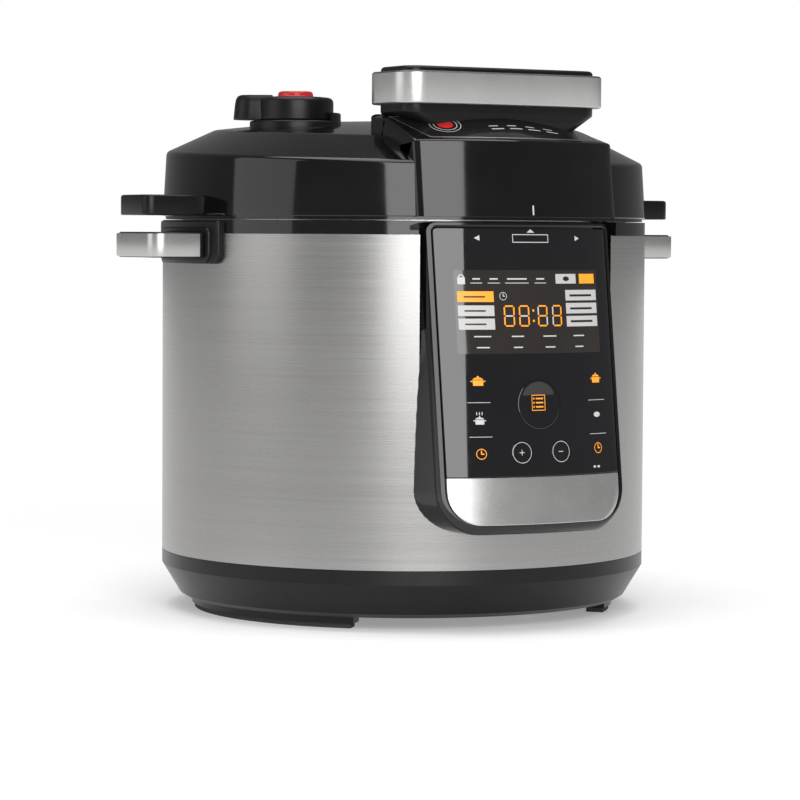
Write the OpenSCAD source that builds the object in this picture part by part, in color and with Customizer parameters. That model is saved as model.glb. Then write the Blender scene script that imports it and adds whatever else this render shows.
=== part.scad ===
// Electric pressure cooker: a free-standing 6 litre cooker with a turn-and-lift lid.
// Millimetres. The origin is on the body's axis at the level of the table, +Z is up,
// and the control panel faces -Y.

/* [Body] */
// Diameter of the stainless body
body_d = 288; // [240:1:346]
// Height of the stainless shell between the base and the collar
shell_h = 187.8; // [156:0.1:226]
// Thickness of the stainless sheet
shell_t = 0.8; // [0.5:0.1:1.2]
// Height of the black base, from the table to the stainless shell
base_h = 34.8; // [30:0.1:42]
// Height of the straight band at the top of the base
base_band_h = 8; // [5:0.5:12]
// Width of the chamfer under the band
base_chamfer_w = 10.5; // [6:0.5:14]
// Height of the base's underside above the table
base_lift = 7; // [6:0.5:10]
// Wall thickness of the moulded plastic parts
wall = 2.5; // [2:0.1:3]
// Height of the black collar on top of the shell
collar_h = 7.5; // [6:0.1:10]

/* [Feet] */
// Thickness of the rubber foot strips
foot_t = 2.8; // [2:0.1:4]
// Width of the rubber foot strips
foot_w = 10; // [6:0.5:12]
// Mean radius of the feet as an inset from the body's surface
foot_inset = 24.5; // [20:0.5:30]

/* [Handles] */
// Reach of the side handles beyond the body
handle_reach = 35; // [25:1:42]
// Width of a grip
grip_w = 55; // [40:1:60]
// Height of a grip
grip_h = 14.6; // [10:0.1:18]
// Thickness of the silver band round a grip
band_t = 1.4; // [1:0.1:2]
// Width of the bracket pad against the body
pad_w = 76; // [64:1:90]
// Height of the bracket pad
pad_h = 24.6; // [20:0.1:30]
// How far the pad stands off the shell
pad_t = 4; // [3:0.5:6]

/* [Control panel] */
// Width of the panel housing where it leaves the body
pod_w = 136; // [110:1:150]
// Width of the panel's face
face_w = 120; // [100:1:130]
// Height of the panel's bottom edge above the base
pod_rise = 21.2; // [15:0.1:30]
// Lean of the face from upright
face_lean = 6.7; // [4:0.1:8]
// Radius of the panel's lower corners
pod_corner_r = 23; // [15:1:28]
// Thickness of the glass and of the silver trim
glass_t = 2; // [1.5:0.1:3]
// Width of the frame left showing round the glass
frame_w = 3.4; // [2:0.1:5]
// Height of the silver trim at the foot of the panel
trim_h = 26.4; // [18:0.1:32]
// Diameter of the large menu key
menu_key_d = 27.5; // [20:0.5:30]
// Diameter of the two small keys
small_key_d = 12.5; // [9:0.5:15]
// Distance between the two small keys
small_key_pitch = 25.6; // [20:0.1:30]
// Travel of the keys
key_travel = 0.6; // [0.3:0.1:0.8]

/* [Cooking pot] */
// Distance from the body's surface to the inside of the pot
service_gap = 34; // [34:1:40]
// Thickness of the removable pot
pot_t = 2; // [1.5:0.1:3]
// Thickness of the fixed outer pot
liner_t = 1.5; // [1.2:0.1:2]
// Width of the bayonet lugs on the outer pot
lug_w = 12.5; // [10:0.5:13]
// Number of bayonet lugs
lug_n = 6; // [4:1:8]
// Angle that each lug covers
lug_angle = 28; // [20:1:29]

/* [Lid] */
// Gap between the collar and the lid
lid_gap = 2.2; // [1.5:0.1:4]
// Height of the lid's side up to its shoulder
lid_side_h = 35.7; // [30:0.1:45]
// Width of the sloping ring above the shoulder
lid_slope_w = 28.9; // [24:0.1:34]
// Height of the sloping ring
lid_slope_h = 13.8; // [10:0.1:18]
// Rise of the dome inside the sloping ring
lid_dome_h = 7.9; // [5:0.1:10]
// Width of the lid's side ears
ear_w = 38.5; // [30:0.5:45]
// Thickness of the lid's side ears
ear_h = 11.9; // [9:0.1:14]
// Width of the bridge over the front of the lid
hub_w = 131; // [110:1:140]
// How far the bridge stands proud of the lid's rim
hub_proud = 2.8; // [2:0.1:4]

/* [Top handle] */
// Length of the top handle
bar_l = 136.5; // [110:0.5:150]
// Depth of the top handle, front to back
bar_d = 48.5; // [40:0.5:56]
// Corner radius of the top handle
bar_r = 14.7; // [8:0.1:20]
// Distance of the handle's centre line behind the front of the body
bar_setback = 48; // [44:1:60]
// Height of the silver band round the handle
bar_band_h = 18.3; // [14:0.1:22]
// Height of the dark cap above the band
bar_cap_h = 6.2; // [4:0.1:8]
// Inset of the cap and of the foot from the band
bar_inset = 5; // [3:0.5:7]

/* [Steam valve] */
// Distance of the valve's centre in from the body's surface
valve_inset = 75; // [70:1:80]
// Direction of the valve from the axis
valve_dir = 171.6; // [165:0.1:180]
// Radius of the valve's collar
valve_collar_r = 27; // [24:0.5:30]
// Radius of the valve's cap
valve_cap_r = 22.4; // [20:0.1:24]
// Height of the valve's cap
valve_cap_h = 14.2; // [12:0.1:18]
// Reach of the pressure release lever from the valve's centre
lever_reach = 36; // [32:0.5:40]
// Travel of the release button
release_travel = 2.5; // [1.5:0.1:3]
// Bore of the steam pipe
steam_bore = 4; // [3:0.5:5]

/* [Rear] */
// Width of the condensation cup
cup_w = 60; // [45:1:70]
// Height of the condensation cup
cup_h = 46; // [30:1:60]
// Wall thickness of the condensation cup
cup_wall = 1.6; // [1.2:0.1:2.5]
// Width of the power inlet's socket
socket_w = 24; // [24:0.5:28]
// Height of the power inlet's socket
socket_h = 16.5; // [16:0.5:20]

/* [Hidden] */
$fn = 180;
over = 1;             // cutters run this far past the surface they cut
seat = 0.1;           // gap between fixed parts that sit on each other
run = 0.3;            // running clearance of moving parts
spring_fn = 8;        // sides of a spring's wire
body_r = body_d / 2;
shell_ri = body_r - shell_t;
z_seam = base_h;                   // base to shell
z_collar = z_seam + shell_h;       // shell to collar
z_top = z_collar + collar_h;       // top of the collar
z_lid = z_top + lid_gap;           // lower edge of the lid

// Inner pots
pot_ri = body_r - service_gap;
pot_ro = pot_ri + pot_t;
pot_flange_r = pot_ro + 6;
liner_ri = pot_ro + 3;
liner_ro = liner_ri + liner_t;
lug_t = 3.5;
liner_top = z_top - 4.3;
liner_floor = 52;                  // underside of the outer pot
plate_top = liner_floor + 18;      // heating plate, where the pot stands
plate_r = pot_ro - 28;
flange_z = liner_top + 0.2;
flange_t = 2;
lug_r = liner_ro + lug_w;
skirt_ri = lug_r + 1.5;            // skirt of the lid's steel plate
skirt_ro = skirt_ri + 1.5;
lid_lug_ri = lug_r - 4;
moat_ri = skirt_ro + 1.2;          // wall of the collar's moat
moat_z = z_collar - 7.1;           // floor of the moat
moat_ro = moat_ri + 1.6;
rim_z = flange_z + flange_t;       // top of the pot's rim

// Base
base_floor = base_lift + 2.6;
foot_r = body_r - foot_inset;
chamfer_z = base_lift + 2.4;
post_r = liner_ro - 21.5;
post_angles = [20, 110, 200, 290];
post_hex_r = 5;
screw_r = 2;
screw_head_r = 3.8;
screw_head_t = 1.7;
foot_arcs = [[-48, 23.6], [156.4, 228], [50, 78], [102, 130]];

// Panel face: a cone round the body's axis
pod_bottom = z_seam + pod_rise;
pod_top = z_top - 0.6;
pod_edge = 5.6;                    // height of the rounded lower edge
face_top_r = body_r - 1.2;
function face_r(z) = face_top_r + (pod_top - z) * tan(face_lean);
pod_reach = face_r(pod_bottom + pod_edge);
glass_top = pod_top - frame_w;
trim_top = pod_bottom + pod_edge + trim_h;
trim_gap = 0.2;
glass_r = 2;                       // upper corners of the glass
face_wall = glass_t + seat + wall; // depth of the glass and the wall behind it
menu_key_z = trim_top + 40;
small_key_z = trim_top + 13.6;
display_z = glass_top - 47;
display_w = 92;
display_h = 46;
key_gap = 0.25;
key_flange = 1.6;
key_flange_z = -7.2;
key_stem_r = 2.5;
stem_end = -8.4;                   // inner end of a key's stem
switch_top = stem_end - key_travel - run;
board_front = -14.3;
board_t = 1.6;
board_w = 100;
board_h = 114;
board_z = (glass_top + trim_top) / 2 - 5;
menu_dish_r = 60;                  // radius of the hollow in the menu key

// Lid
lid_rim_r = body_r - 0.1;
shoulder_r = body_r - 2.1;
z_shoulder = z_lid + lid_side_h;
dome_r = shoulder_r - lid_slope_w;
z_slope = z_shoulder + lid_slope_h;
z_crown = z_slope + lid_dome_h;
dome_R = (dome_r * dome_r + lid_dome_h * lid_dome_h) / (2 * lid_dome_h);
function dome_z(r) = z_crown - dome_R + sqrt(dome_R * dome_R - r * r);
steel_z = z_lid + 13.7;            // top of the lid's steel plate
steel_t = 1.5;
seal_ceiling = z_lid + 4.7;        // underside of the steel above the seal
seal_bottom = rim_z + run;
seal_top = seal_ceiling - run;
seal_ri = pot_ro - 4;
seal_ro = pot_flange_r + 1.5;
lid_lug_z = liner_top - lug_t - 0.9 - lug_t;
z_hub_edge = z_shoulder + 7.1;     // front edge of the bridge's top
function hub_face_r(z) = body_r + hub_proud - (z - z_lid) * tan(face_lean);
hub_top_r = hub_face_r(z_hub_edge);
hub_crest_r = dome_r + 0.5;
z_hub = z_hub_edge + lid_slope_h;
hub_back_r = dome_r - 31;
notch_gap = 0.2;
notch_inner_r = body_r - 8;

// Top handle
bar_y = -(body_r - bar_setback);
bar_band_t = 1.5;
z_bar = z_hub + 6.6;               // lower edge of the band
z_bar_cap = z_bar + bar_band_h;
bar_bevel = 8;
z_total = z_bar_cap + bar_cap_h;

// Steam valve
valve_r = body_r - valve_inset;
valve_x = valve_r * cos(valve_dir);
valve_y = valve_r * sin(valve_dir);
z_valve = dome_z(valve_r) + 1.9;   // top of the valve's collar
z_valve_cap = z_valve + valve_cap_h;
lever_dir = 150.4;
lever_w = 20;
guard_h = 4.9;
button_r = 10;
button_base_r = 12;
button_h = 3.6;
pipe_ro = 5;
float_x = 30;
float_y = 34;
float_travel = 4;

// Rear
cup_top = z_collar - 18;
cup_y0 = body_r + 3.1;
drain_r = 2;
drain_y = liner_ro + 8;
drain_z = cup_top + 8;
plug_z = z_seam + 13;
inlet_depth = 20;
pin_places = [[-7, -3.5], [0, 0.5], [7, -3.5]];

// ---- shared shapes ----

module tube(ri, ro, z0, z1) rotate_extrude() translate([ri, z0]) square([ro - ri, z1 - z0]);

module disc(r, z0, z1) translate([0, 0, z0]) cylinder(r = r, h = z1 - z0);

module arc_tube(ri, ro, z0, z1, a0, a1)
    rotate([0, 0, a0]) rotate_extrude(angle = a1 - a0) translate([ri, z0]) square([ro - ri, z1 - z0]);

// A centred rectangle with round corners
module round_rect(w, d, r) {
    square([w - 2 * r, d], center = true);
    square([w, d - 2 * r], center = true);
    for (x = [-1, 1], y = [-1, 1]) translate([x * (w / 2 - r), y * (d / 2 - r)]) circle(r);
}

// A standing outline from z0 to z1 with its own upper and lower corner radii
module face_outline(w, z0, z1, r_low, r_up) {
    for (x = [-1, 1]) {
        translate([x * (w / 2 - r_low), z0 + r_low]) circle(r_low);
        translate([x * (w / 2 - r_up), z1 - r_up]) circle(r_up);
    }
    translate([-w / 2, z0 + r_low]) square([w, z1 - r_up - z0 - r_low]);
    translate([-w / 2 + r_low, z0]) square([w - 2 * r_low, r_low + over]);
    translate([-w / 2 + r_up, z1 - r_up - over]) square([w - 2 * r_up, r_up + over]);
}

// Carries an outline in the XZ plane over the front of the body
module across_front() rotate([90, 0, 0]) linear_extrude(body_r * 2) children();

// Moves to a point on the panel's centre line: +Z is then straight out of the face
module on_panel(z, x = 0)
    translate([0, -face_r(z), z]) rotate([90 - face_lean, 0, 0]) translate([x, 0, 0]) children();

// A shell that follows the panel's face, between two depths below it
module face_layer(deep, shallow)
    rotate_extrude() polygon([
        [face_r(pod_bottom) - deep, pod_bottom - over], [face_r(pod_bottom) - shallow, pod_bottom - over],
        [face_top_r - shallow, pod_top + over], [face_top_r - deep, pod_top + over]]);

// A closed spring wire along a rising coil
module coil(r, wire_r, z0, z1, turns) {
    steps = 12;
    rings = turns * steps;
    points = [for (i = [0:rings]) let (a = 360 * i / steps, z = z0 + wire_r + (z1 - z0 - 2 * wire_r) * i / rings)
        for (k = [0:spring_fn - 1]) let (b = 360 * k / spring_fn, d = r + wire_r * cos(b))
            [d * cos(a), d * sin(a), z + wire_r * sin(b)]];
    sides = [for (i = [0:rings - 1], k = [0:spring_fn - 1]) let (n = (k + 1) % spring_fn)
        each [[i * spring_fn + k, (i + 1) * spring_fn + k, (i + 1) * spring_fn + n],
              [i * spring_fn + k, (i + 1) * spring_fn + n, i * spring_fn + n]]];
    polyhedron(points, concat(sides, [[for (k = [0:spring_fn - 1]) k]],
        [[for (k = [spring_fn - 1:-1:0]) rings * spring_fn + k]]), convexity = 10);
}

// A lead: a round wire swept along a route of points
function unit(v) = v / norm(v);
module lead(route, r) {
    sides = 8;
    last = len(route) - 1;
    points = [for (i = [0:last])
        let (t = unit(route[min(i + 1, last)] - route[max(i - 1, 0)]), u = unit(cross(t, [0.31, 0.95, 0.07])),
             v = cross(t, u))
        for (k = [0:sides - 1]) route[i] + r * (cos(360 * k / sides) * u + sin(360 * k / sides) * v)];
    walls = [for (i = [0:last - 1], k = [0:sides - 1]) let (n = (k + 1) % sides)
        each [[i * sides + k, i * sides + n, (i + 1) * sides + n],
              [i * sides + k, (i + 1) * sides + n, (i + 1) * sides + k]]];
    polyhedron(points, concat(walls, [[for (k = [sides - 1:-1:0]) k]],
        [[for (k = [0:sides - 1]) last * sides + k]]), convexity = 10);
}

// ---- base ----

module base_housing() color("#1b1b1c") {
    lip_r = shell_ri - seat;
    difference() {
        union() {
            rotate_extrude() polygon([
                [0, base_lift], [body_r - base_chamfer_w - 4, base_lift], [body_r - base_chamfer_w, chamfer_z],
                [body_r, z_seam - base_band_h], [body_r, z_seam], [lip_r, z_seam], [lip_r, z_seam + 5],
                [lip_r - wall, z_seam + 5], [lip_r - wall, z_seam - base_band_h + 1],
                [body_r - base_chamfer_w - wall, base_floor], [0, base_floor]]);
            for (a = foot_arcs)
                arc_tube(foot_r - foot_w / 2 - 2, foot_r + foot_w / 2 + 1.5, foot_t, base_lift + over, a[0], a[1]);
            for (x = [-70, -5], y = [20, 66]) translate([x, y, 0]) disc(3, base_floor - over, base_floor + 6.4);
        }
        for (a = post_angles) rotate([0, 0, a]) translate([post_r, 0, 0]) disc(screw_r + 0.3, 0, base_floor + over);
        translate([0, body_r, plug_z]) cube([38, 60, 29], center = true);
    }
}

module foot_pads() color("#2c2c2d")
    for (a = foot_arcs)
        arc_tube(foot_r - foot_w / 2, foot_r + foot_w / 2, 0, foot_t - seat, a[0] + 1, a[1] - 1);

module base_screws() color("#b9bbbd")
    for (a = post_angles) rotate([0, 0, a]) translate([post_r, 0, 0]) {
        disc(screw_head_r, base_lift - screw_head_t - seat, base_lift - seat);
        disc(screw_r, base_lift - screw_head_t, base_floor + 12);
    }

module base_posts() color("#a8abad")
    for (a = post_angles) rotate([0, 0, a]) translate([post_r, 0, 0]) difference() {
        translate([0, 0, base_floor + seat])
            cylinder(r = post_hex_r, h = liner_floor - base_floor - 2 * seat, $fn = 6);
        disc(screw_r + 0.05, base_floor, base_floor + 14);
    }

// ---- shell and collar ----

module outer_shell() color("#b7b7b5") difference() {
    tube(shell_ri, body_r, z_seam, z_collar);
    across_front() face_outline(pod_w + 2 * seat, pod_bottom - seat, z_collar + 40, pod_corner_r, 2);
    translate([0, body_r, plug_z]) cube([38, 60, 29], center = true);
    for (s = [-1, 1], y = [-15, 15])
        translate([0, y, z_top - 14.3]) rotate([0, s * 90, 0]) cylinder(r = screw_r + 0.2, h = body_r * 2);
    translate([0, body_r, drain_z]) rotate([90, 0, 0]) cylinder(r = drain_r + 1.2 + run, h = 10, center = true);
}

module top_collar() color("#161617") {
    lip_r = shell_ri - seat;
    difference() {
        rotate_extrude() polygon([
            [body_r, z_collar], [body_r, z_top], [moat_ri, z_top], [moat_ri, moat_z], [liner_ro + 0.3, moat_z],
            [liner_ro + 0.3, moat_z - 1.5], [moat_ro, moat_z - 1.5], [moat_ro, z_collar],
            [lip_r - wall, z_collar], [lip_r - wall, z_collar - 3], [lip_r, z_collar - 3], [lip_r, z_collar]]);
        // the panel's top reaches into the front of the collar
        intersection() {
            tube(moat_ro + seat, body_r + over, z_collar - 10, z_top + over);
            translate([-pod_w / 2 - 2 * seat, -body_d, 0]) cube([pod_w + 4 * seat, body_d - 40, z_top * 2]);
        }
        translate([0, drain_y, moat_z - 3]) cylinder(r = drain_r, h = 6);
    }
    // pipe from the moat to the condensation cup
    difference() {
        translate([0, drain_y - 3.2, drain_z]) rotate([-90, 0, 0]) cylinder(r = drain_r + 1.2, h = body_r - 0.5 - drain_y + 3.2);
        translate([0, drain_y, drain_z]) rotate([-90, 0, 0]) cylinder(r = drain_r, h = body_r);
        translate([0, drain_y, drain_z]) cylinder(r = drain_r, h = 6);
        translate([-5, drain_y - 5, moat_z - 1.4]) cube([10, body_r, 5]);
    }
}
// ---- side handles, drawn for the right and mirrored for the left ----

grip_top = z_top - 7.1;
grip_x = body_r + handle_reach;

module grip_outline(inset, from_x) {
    r = 9 - inset;
    w = grip_w - 2 * inset;
    translate([from_x, -w / 2]) square([grip_x - inset - r - from_x, w]);
    translate([from_x, -w / 2 + r]) square([grip_x - inset - from_x, w - 2 * r]);
    for (y = [-1, 1]) translate([grip_x - inset - r, y * (w / 2 - r)]) circle(r);
}

module handle_bracket(side) mirror([side < 0 ? 1 : 0, 0, 0]) color("#1b1b1c") difference() {
    tube(body_r + seat, body_r + pad_t, z_top - 0.6 - pad_h, z_top - 0.6);
    // keep only the pad in front of the side, with round lower corners
    rotate([90, 0, 90]) translate([0, 0, -body_r * 2]) linear_extrude(body_r * 4) difference() {
        translate([0, z_top - pad_h]) square([body_d * 2, body_d], center = true);
        face_outline(pad_w, z_top - 0.6 - pad_h, z_top + 20, 6, 2);
    }
    translate([-body_r * 2, -body_r * 2, 0]) cube([body_r * 2, body_r * 4, body_d * 2]);
    translate([0, 0, grip_top - grip_h - seat]) linear_extrude(grip_h + 2 * seat)
        translate([0, -grip_w / 2 - seat]) square([grip_x, grip_w + 2 * seat]);
}
module handle_bracket_left() handle_bracket(-1);
module handle_bracket_right() handle_bracket(1);

module handle_core(side) mirror([side < 0 ? 1 : 0, 0, 0]) color("#222223") difference() {
    translate([0, 0, grip_top - grip_h]) linear_extrude(grip_h) grip_outline(band_t + seat, body_r - 12);
    disc(body_r + seat, 0, z_top * 2);
    for (y = [-15, 15]) translate([0, y, z_top - 14.3]) rotate([0, 90, 0]) cylinder(r = screw_r + 0.05, h = body_r + 14);
}
module handle_core_left() handle_core(-1);
module handle_core_right() handle_core(1);

module grip_band(side) mirror([side < 0 ? 1 : 0, 0, 0]) color("#c9c9c8") difference() {
    translate([0, 0, grip_top - grip_h]) linear_extrude(grip_h) difference() {
        grip_outline(0, body_r - 12);
        grip_outline(band_t, body_r - 14);
    }
    disc(body_r + seat, 0, z_top * 2);
}
module handle_band_left() grip_band(-1);
module handle_band_right() grip_band(1);

module handle_screws() color("#b9bbbd")
    for (s = [0, 1], y = [-15, 15]) mirror([s, 0, 0]) {
        head_x = sqrt(shell_ri * shell_ri - 18.5 * 18.5) - seat;
        translate([head_x - 2, y, z_top - 14.3]) rotate([0, 90, 0]) cylinder(r = 3.5, h = 2);
        translate([head_x - 1, y, z_top - 14.3]) rotate([0, 90, 0]) cylinder(r = screw_r, h = 14);
    }

// ---- heating and the outer pot ----

module outer_pot() color("#9a9c9e") difference() {
    union() {
        rotate_extrude() polygon([
            [0, liner_floor], [liner_ro, liner_floor], [liner_ro, moat_z - 3.5], [liner_ro + 2.5, moat_z - 3.5],
            [liner_ro + 2.5, moat_z - 1.6], [liner_ro, moat_z - 1.6], [liner_ro, liner_top - lug_t],
            [liner_ro + 3, liner_top - lug_t], [liner_ro + 3, liner_top], [liner_ri, liner_top],
            [liner_ri, liner_floor + liner_t], [0, liner_floor + liner_t]]);
        for (i = [0:lug_n - 1])
            arc_tube(liner_ro + 2, lug_r, liner_top - lug_t, liner_top,
                360 * i / lug_n - lug_angle / 2, 360 * i / lug_n + lug_angle / 2);
    }
    disc(16, 0, liner_floor + 5);
    for (a = [150, 210]) rotate([0, 0, a]) translate([plate_r - 14, 0, 0]) disc(6, 0, liner_floor + 5);
}

module insulation_wrap() color("#d9d4c4") tube(liner_ro + 0.3, liner_ro + 7, liner_floor + 20, moat_z - 12);

module heating_plate() color("#8d8f92") difference() {
    union() {
        rotate_extrude() polygon([[16.5, plate_top - 9], [plate_r - 6, plate_top - 9], [plate_r, plate_top - 5],
            [plate_r, plate_top - 1], [plate_r - 4, plate_top], [16.5, plate_top]]);
        for (a = [0, 120, 240]) rotate([0, 0, a])
            translate([plate_r - 26, 0, 0]) disc(5, liner_floor + liner_t, plate_top - 8);
        for (a = [150, 210]) rotate([0, 0, a]) translate([plate_r - 14, 0, 0]) disc(3.2, liner_floor - 11, plate_top - 8);
    }
    disc(16.5, 0, plate_top + over);
}

module thermostat() color("#cfcabb") translate([42, -8, 0]) {
    disc(9, liner_floor - 6, liner_floor);
    for (y = [-6, 6]) translate([-1, y - 0.5, liner_floor - 14]) cube([3, 1, 8.5]);
}

module thermal_fuse() color("#e8e6df") translate([-38, -36, liner_floor - 3]) {
    rotate([0, 90, 0]) cylinder(r = 2.4, h = 14, center = true);
    translate([-3, -2, 2]) cube([6, 4, 1]);
}

module pressure_switch() color("#39393b") translate([0, -62, 0]) {
    translate([-11, -5, liner_floor - 17]) cube([22, 10, 13]);
    translate([-14, -7, liner_floor - 4.5]) cube([28, 14, 4.5]);
}

module sensor_bracket() color("#aeb0b2") rotate_extrude()
    polygon([[0, liner_floor - 6], [15.4, liner_floor - 6], [15.4, liner_floor - 1.5], [26, liner_floor - 1.5],
        [26, liner_floor], [15.4, liner_floor], [15.4, plate_top - 13], [14.2, plate_top - 13],
        [14.2, liner_floor - 4.6], [0, liner_floor - 4.6]]);

module sensor_cap() color("#c4c6c8") rotate_extrude()
    polygon([[0, plate_top - run], [15.9, plate_top - run], [15.9, plate_top - 3], [13.6, plate_top - 3],
        [13.6, plate_top - 12], [12, plate_top - 12], [12, plate_top - 3], [0, plate_top - 3]]);

module sensor_spring() color("#9c9ea0") coil(8, 0.7, liner_floor - 4.5, plate_top - 3.1, 5);

// ---- electrics in the base ----

module power_board() color("#2f6b3c") difference() {
    translate([-77, 14, base_floor + 6.5]) cube([80, 58, board_t]);
    for (x = [-70, -5], y = [20, 66]) translate([x, y, 0]) disc(1.6, 0, 60);
}
module relay() color("#26282b") translate([-62, 36, base_floor + 6.5 + board_t + seat]) cube([19.5, 15.5, 15.5]);
module transformer() color("#c9a227") translate([-34, 30, base_floor + 6.5 + board_t + seat]) {
    cube([28, 24, 19]);
    translate([4, -3, 3]) cube([20, 30, 13]);
}

inlet_in = sqrt(body_r * body_r - 25 * 25) - inlet_depth;
module power_inlet() color("#151516") {
    front_y = body_r + 2.8;
    difference() {
        union() {
            translate([-18.8, inlet_in, plug_z - 14.3]) cube([37.6, body_r - 4 - inlet_in, 28.6]);
            intersection() {
                translate([-25, body_r - 12, plug_z - 15]) cube([50, 12 + 2.8, 30]);
                tube(body_r + seat, body_r + 20, 0, z_top);
            }
            translate([-18.8, body_r - 5, plug_z - 14.3]) cube([37.6, 7, 28.6]);
        }
        translate([-socket_w / 2, inlet_in + 3, plug_z - socket_h / 2]) cube([socket_w, body_d, socket_h]);
        for (p = pin_places) translate([p[0] - 1.1, 0, plug_z + p[1] - 2.1]) cube([2.2, body_r, 4.2]);
    }
}

module inlet_pins() color("#c8ccd0")
    for (p = pin_places)
        translate([p[0] - 1, inlet_in - 8, plug_z + p[1] - 2]) cube([2, 24, 4]);

// Leads from the inlet to the board, and from the board to the plate's terminals and the panel
lead_r = 1.2;
inlet_route = [[-7, 100, 43], [-14, 94, 36], [-24, 84, 30], [-40, 62, 26], [-44, 57, 22], [-44, 56, 18.5]];
heater_route = [[-60, 24, 18.5], [-62, 22, 24], [-62, 18, 32], [-60, 22, 37], [-59.6, 33.5, 38]];
panel_route = [[-4, 22, 18.5], [6, 6, 24], [14, -30, 20], [16, -80, 20], [16, -112, 30], [18, -131, 60], [18, -131, 98]];
module wiring_loom() color("#c43a2e")
    for (route = [inlet_route, heater_route, panel_route]) lead(route, lead_r);

// ---- control panel ----

module pod_plan(inset) {
    side_y = -sqrt(body_r * body_r - pod_w * pod_w / 4);
    polygon([[-pod_w / 2 + inset, side_y + 24], [-pod_w / 2 + inset, side_y], [-face_w / 2 + inset, -pod_reach - over],
        [face_w / 2 - inset, -pod_reach - over], [pod_w / 2 - inset, side_y], [pod_w / 2 - inset, side_y + 24]]);
}

module pod_solid(inset, deep) intersection() {
    rotate_extrude() polygon([[0, pod_bottom + inset], [pod_reach - 6 - deep, pod_bottom + inset],
        [pod_reach - deep, pod_bottom + pod_edge + inset], [face_top_r - deep, pod_top - inset],
        [0, pod_top - inset]]);
    translate([0, 0, pod_bottom - over]) linear_extrude(pod_top - pod_bottom + 2 * over) pod_plan(inset);
    across_front() face_outline(pod_w - 2 * inset, pod_bottom + inset, pod_top - inset, pod_corner_r - inset, 1.5);
}

module insert_outline(gap)
    face_outline(face_w - 2 * frame_w + 2 * gap, pod_bottom + pod_edge - gap, glass_top + gap, pod_corner_r - 5, glass_r);

module key_bores(extra) {
    on_panel(menu_key_z) translate([0, 0, -12]) cylinder(r = menu_key_d / 2 + extra, h = 20);
    for (s = [-1, 1])
        on_panel(small_key_z, s * small_key_pitch / 2) translate([0, 0, -12]) cylinder(r = small_key_d / 2 + extra, h = 20);
}

module panel_housing() color("#121213") difference() {
    union() {
        difference() {
            pod_solid(0, 0);
            pod_solid(wall, face_wall);
            disc(body_r - 0.6, 0, pod_top - 12);
            disc(moat_ro + 0.3, 0, pod_top + over);
        }
        // flange behind the edge of the shell
        difference() {
            intersection() {
                tube(shell_ri - seat - 2, shell_ri - seat, pod_bottom - 6, z_collar - 8);
                across_front() face_outline(pod_w + 12, pod_bottom - 6, z_top + 30, pod_corner_r, 2);
            }
            across_front() face_outline(pod_w - 2 * wall, pod_bottom + wall, z_top + 60, pod_corner_r - wall, 2);
        }
        for (x = [-1, 1], z = [-1, 1]) on_panel(board_z, x * (board_w / 2 - 6)) translate([0, z * (board_h / 2 - 6), board_front])
            translate([0, 0, seat]) cylinder(r = 3, h = 4.6);
    }
    intersection() {
        face_layer(glass_t + seat, -6);
        across_front() insert_outline(seat);
    }
    key_bores(key_gap);
    on_panel(display_z) cube([display_w - 20, display_h, 30], center = true);
}

module face_insert(z0, z1) difference() {
    intersection() {
        face_layer(glass_t, 0);
        across_front() insert_outline(-seat);
        translate([-face_w, -body_d, z0]) cube([face_w * 2, body_d, z1 - z0]);
    }
    key_bores(key_gap);
}
module panel_glass() color("#0c0c0d") face_insert(trim_top + trim_gap, z_top);
module panel_trim() color("#c9c9c8") face_insert(pod_bottom, trim_top);

module display_module() color("#2a2d30") on_panel(display_z)
    translate([-display_w / 2 + 12, -display_h / 2 + 3, board_front + seat]) cube([display_w - 24, display_h - 6, 4.8]);

module control_board() color("#2f6b3c") difference() {
    on_panel(board_z) translate([-board_w / 2, -board_h / 2, board_front - board_t]) cube([board_w, board_h, board_t]);
    on_panel(board_z) for (x = [-1, 1], y = [-1, 1])
        translate([x * (board_w / 2 - 6), y * (board_h / 2 - 6), board_front - 5]) cylinder(r = 1.3, h = 10);
}

module tact_switches() color("#d8d8d6") {
    for (k = [[menu_key_z, 0], [small_key_z, -small_key_pitch / 2], [small_key_z, small_key_pitch / 2]])
        on_panel(k[0], k[1]) {
            translate([-3, -3, board_front + seat]) cube([6, 6, 3.8]);
            translate([0, 0, board_front + 3]) cylinder(r = 1.7, h = switch_top - board_front - 3);
        }
}

module key_body(d, top) {
    translate([0, 0, key_flange_z + 0.4]) cylinder(r = d / 2, h = top - key_flange_z - 0.4);
    translate([0, 0, key_flange_z]) cylinder(r = d / 2 + key_flange, h = 0.8);
    translate([0, 0, stem_end]) cylinder(r = key_stem_r, h = key_flange_z - stem_end + 0.4);
}
module menu_key() color("#1d1d1e") on_panel(menu_key_z) difference() {
    key_body(menu_key_d, 0.5);
    translate([0, 0, menu_dish_r - 0.9]) sphere(menu_dish_r);
}
module small_key(side) color("#242425") on_panel(small_key_z, side * small_key_pitch / 2) key_body(small_key_d, 0.1);
module hours_key() small_key(-1);
module minutes_key() small_key(1);

// ---- removable pot and the condensation cup ----

module inner_pot() color("#6f7072") rotate_extrude() polygon([
    [0, plate_top], [pot_ro - 9, plate_top], [pot_ro, plate_top + 9], [pot_ro, flange_z], [pot_flange_r, flange_z],
    [pot_flange_r, rim_z], [pot_ri, rim_z], [pot_ri, plate_top + pot_t + 9], [pot_ri - 9, plate_top + pot_t],
    [0, plate_top + pot_t]]);

tab_w = 10;
tab_h = 4;
tab_l = 3;
tab_x = cup_w / 2 - 12;
bracket_top = cup_top + 16;

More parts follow.
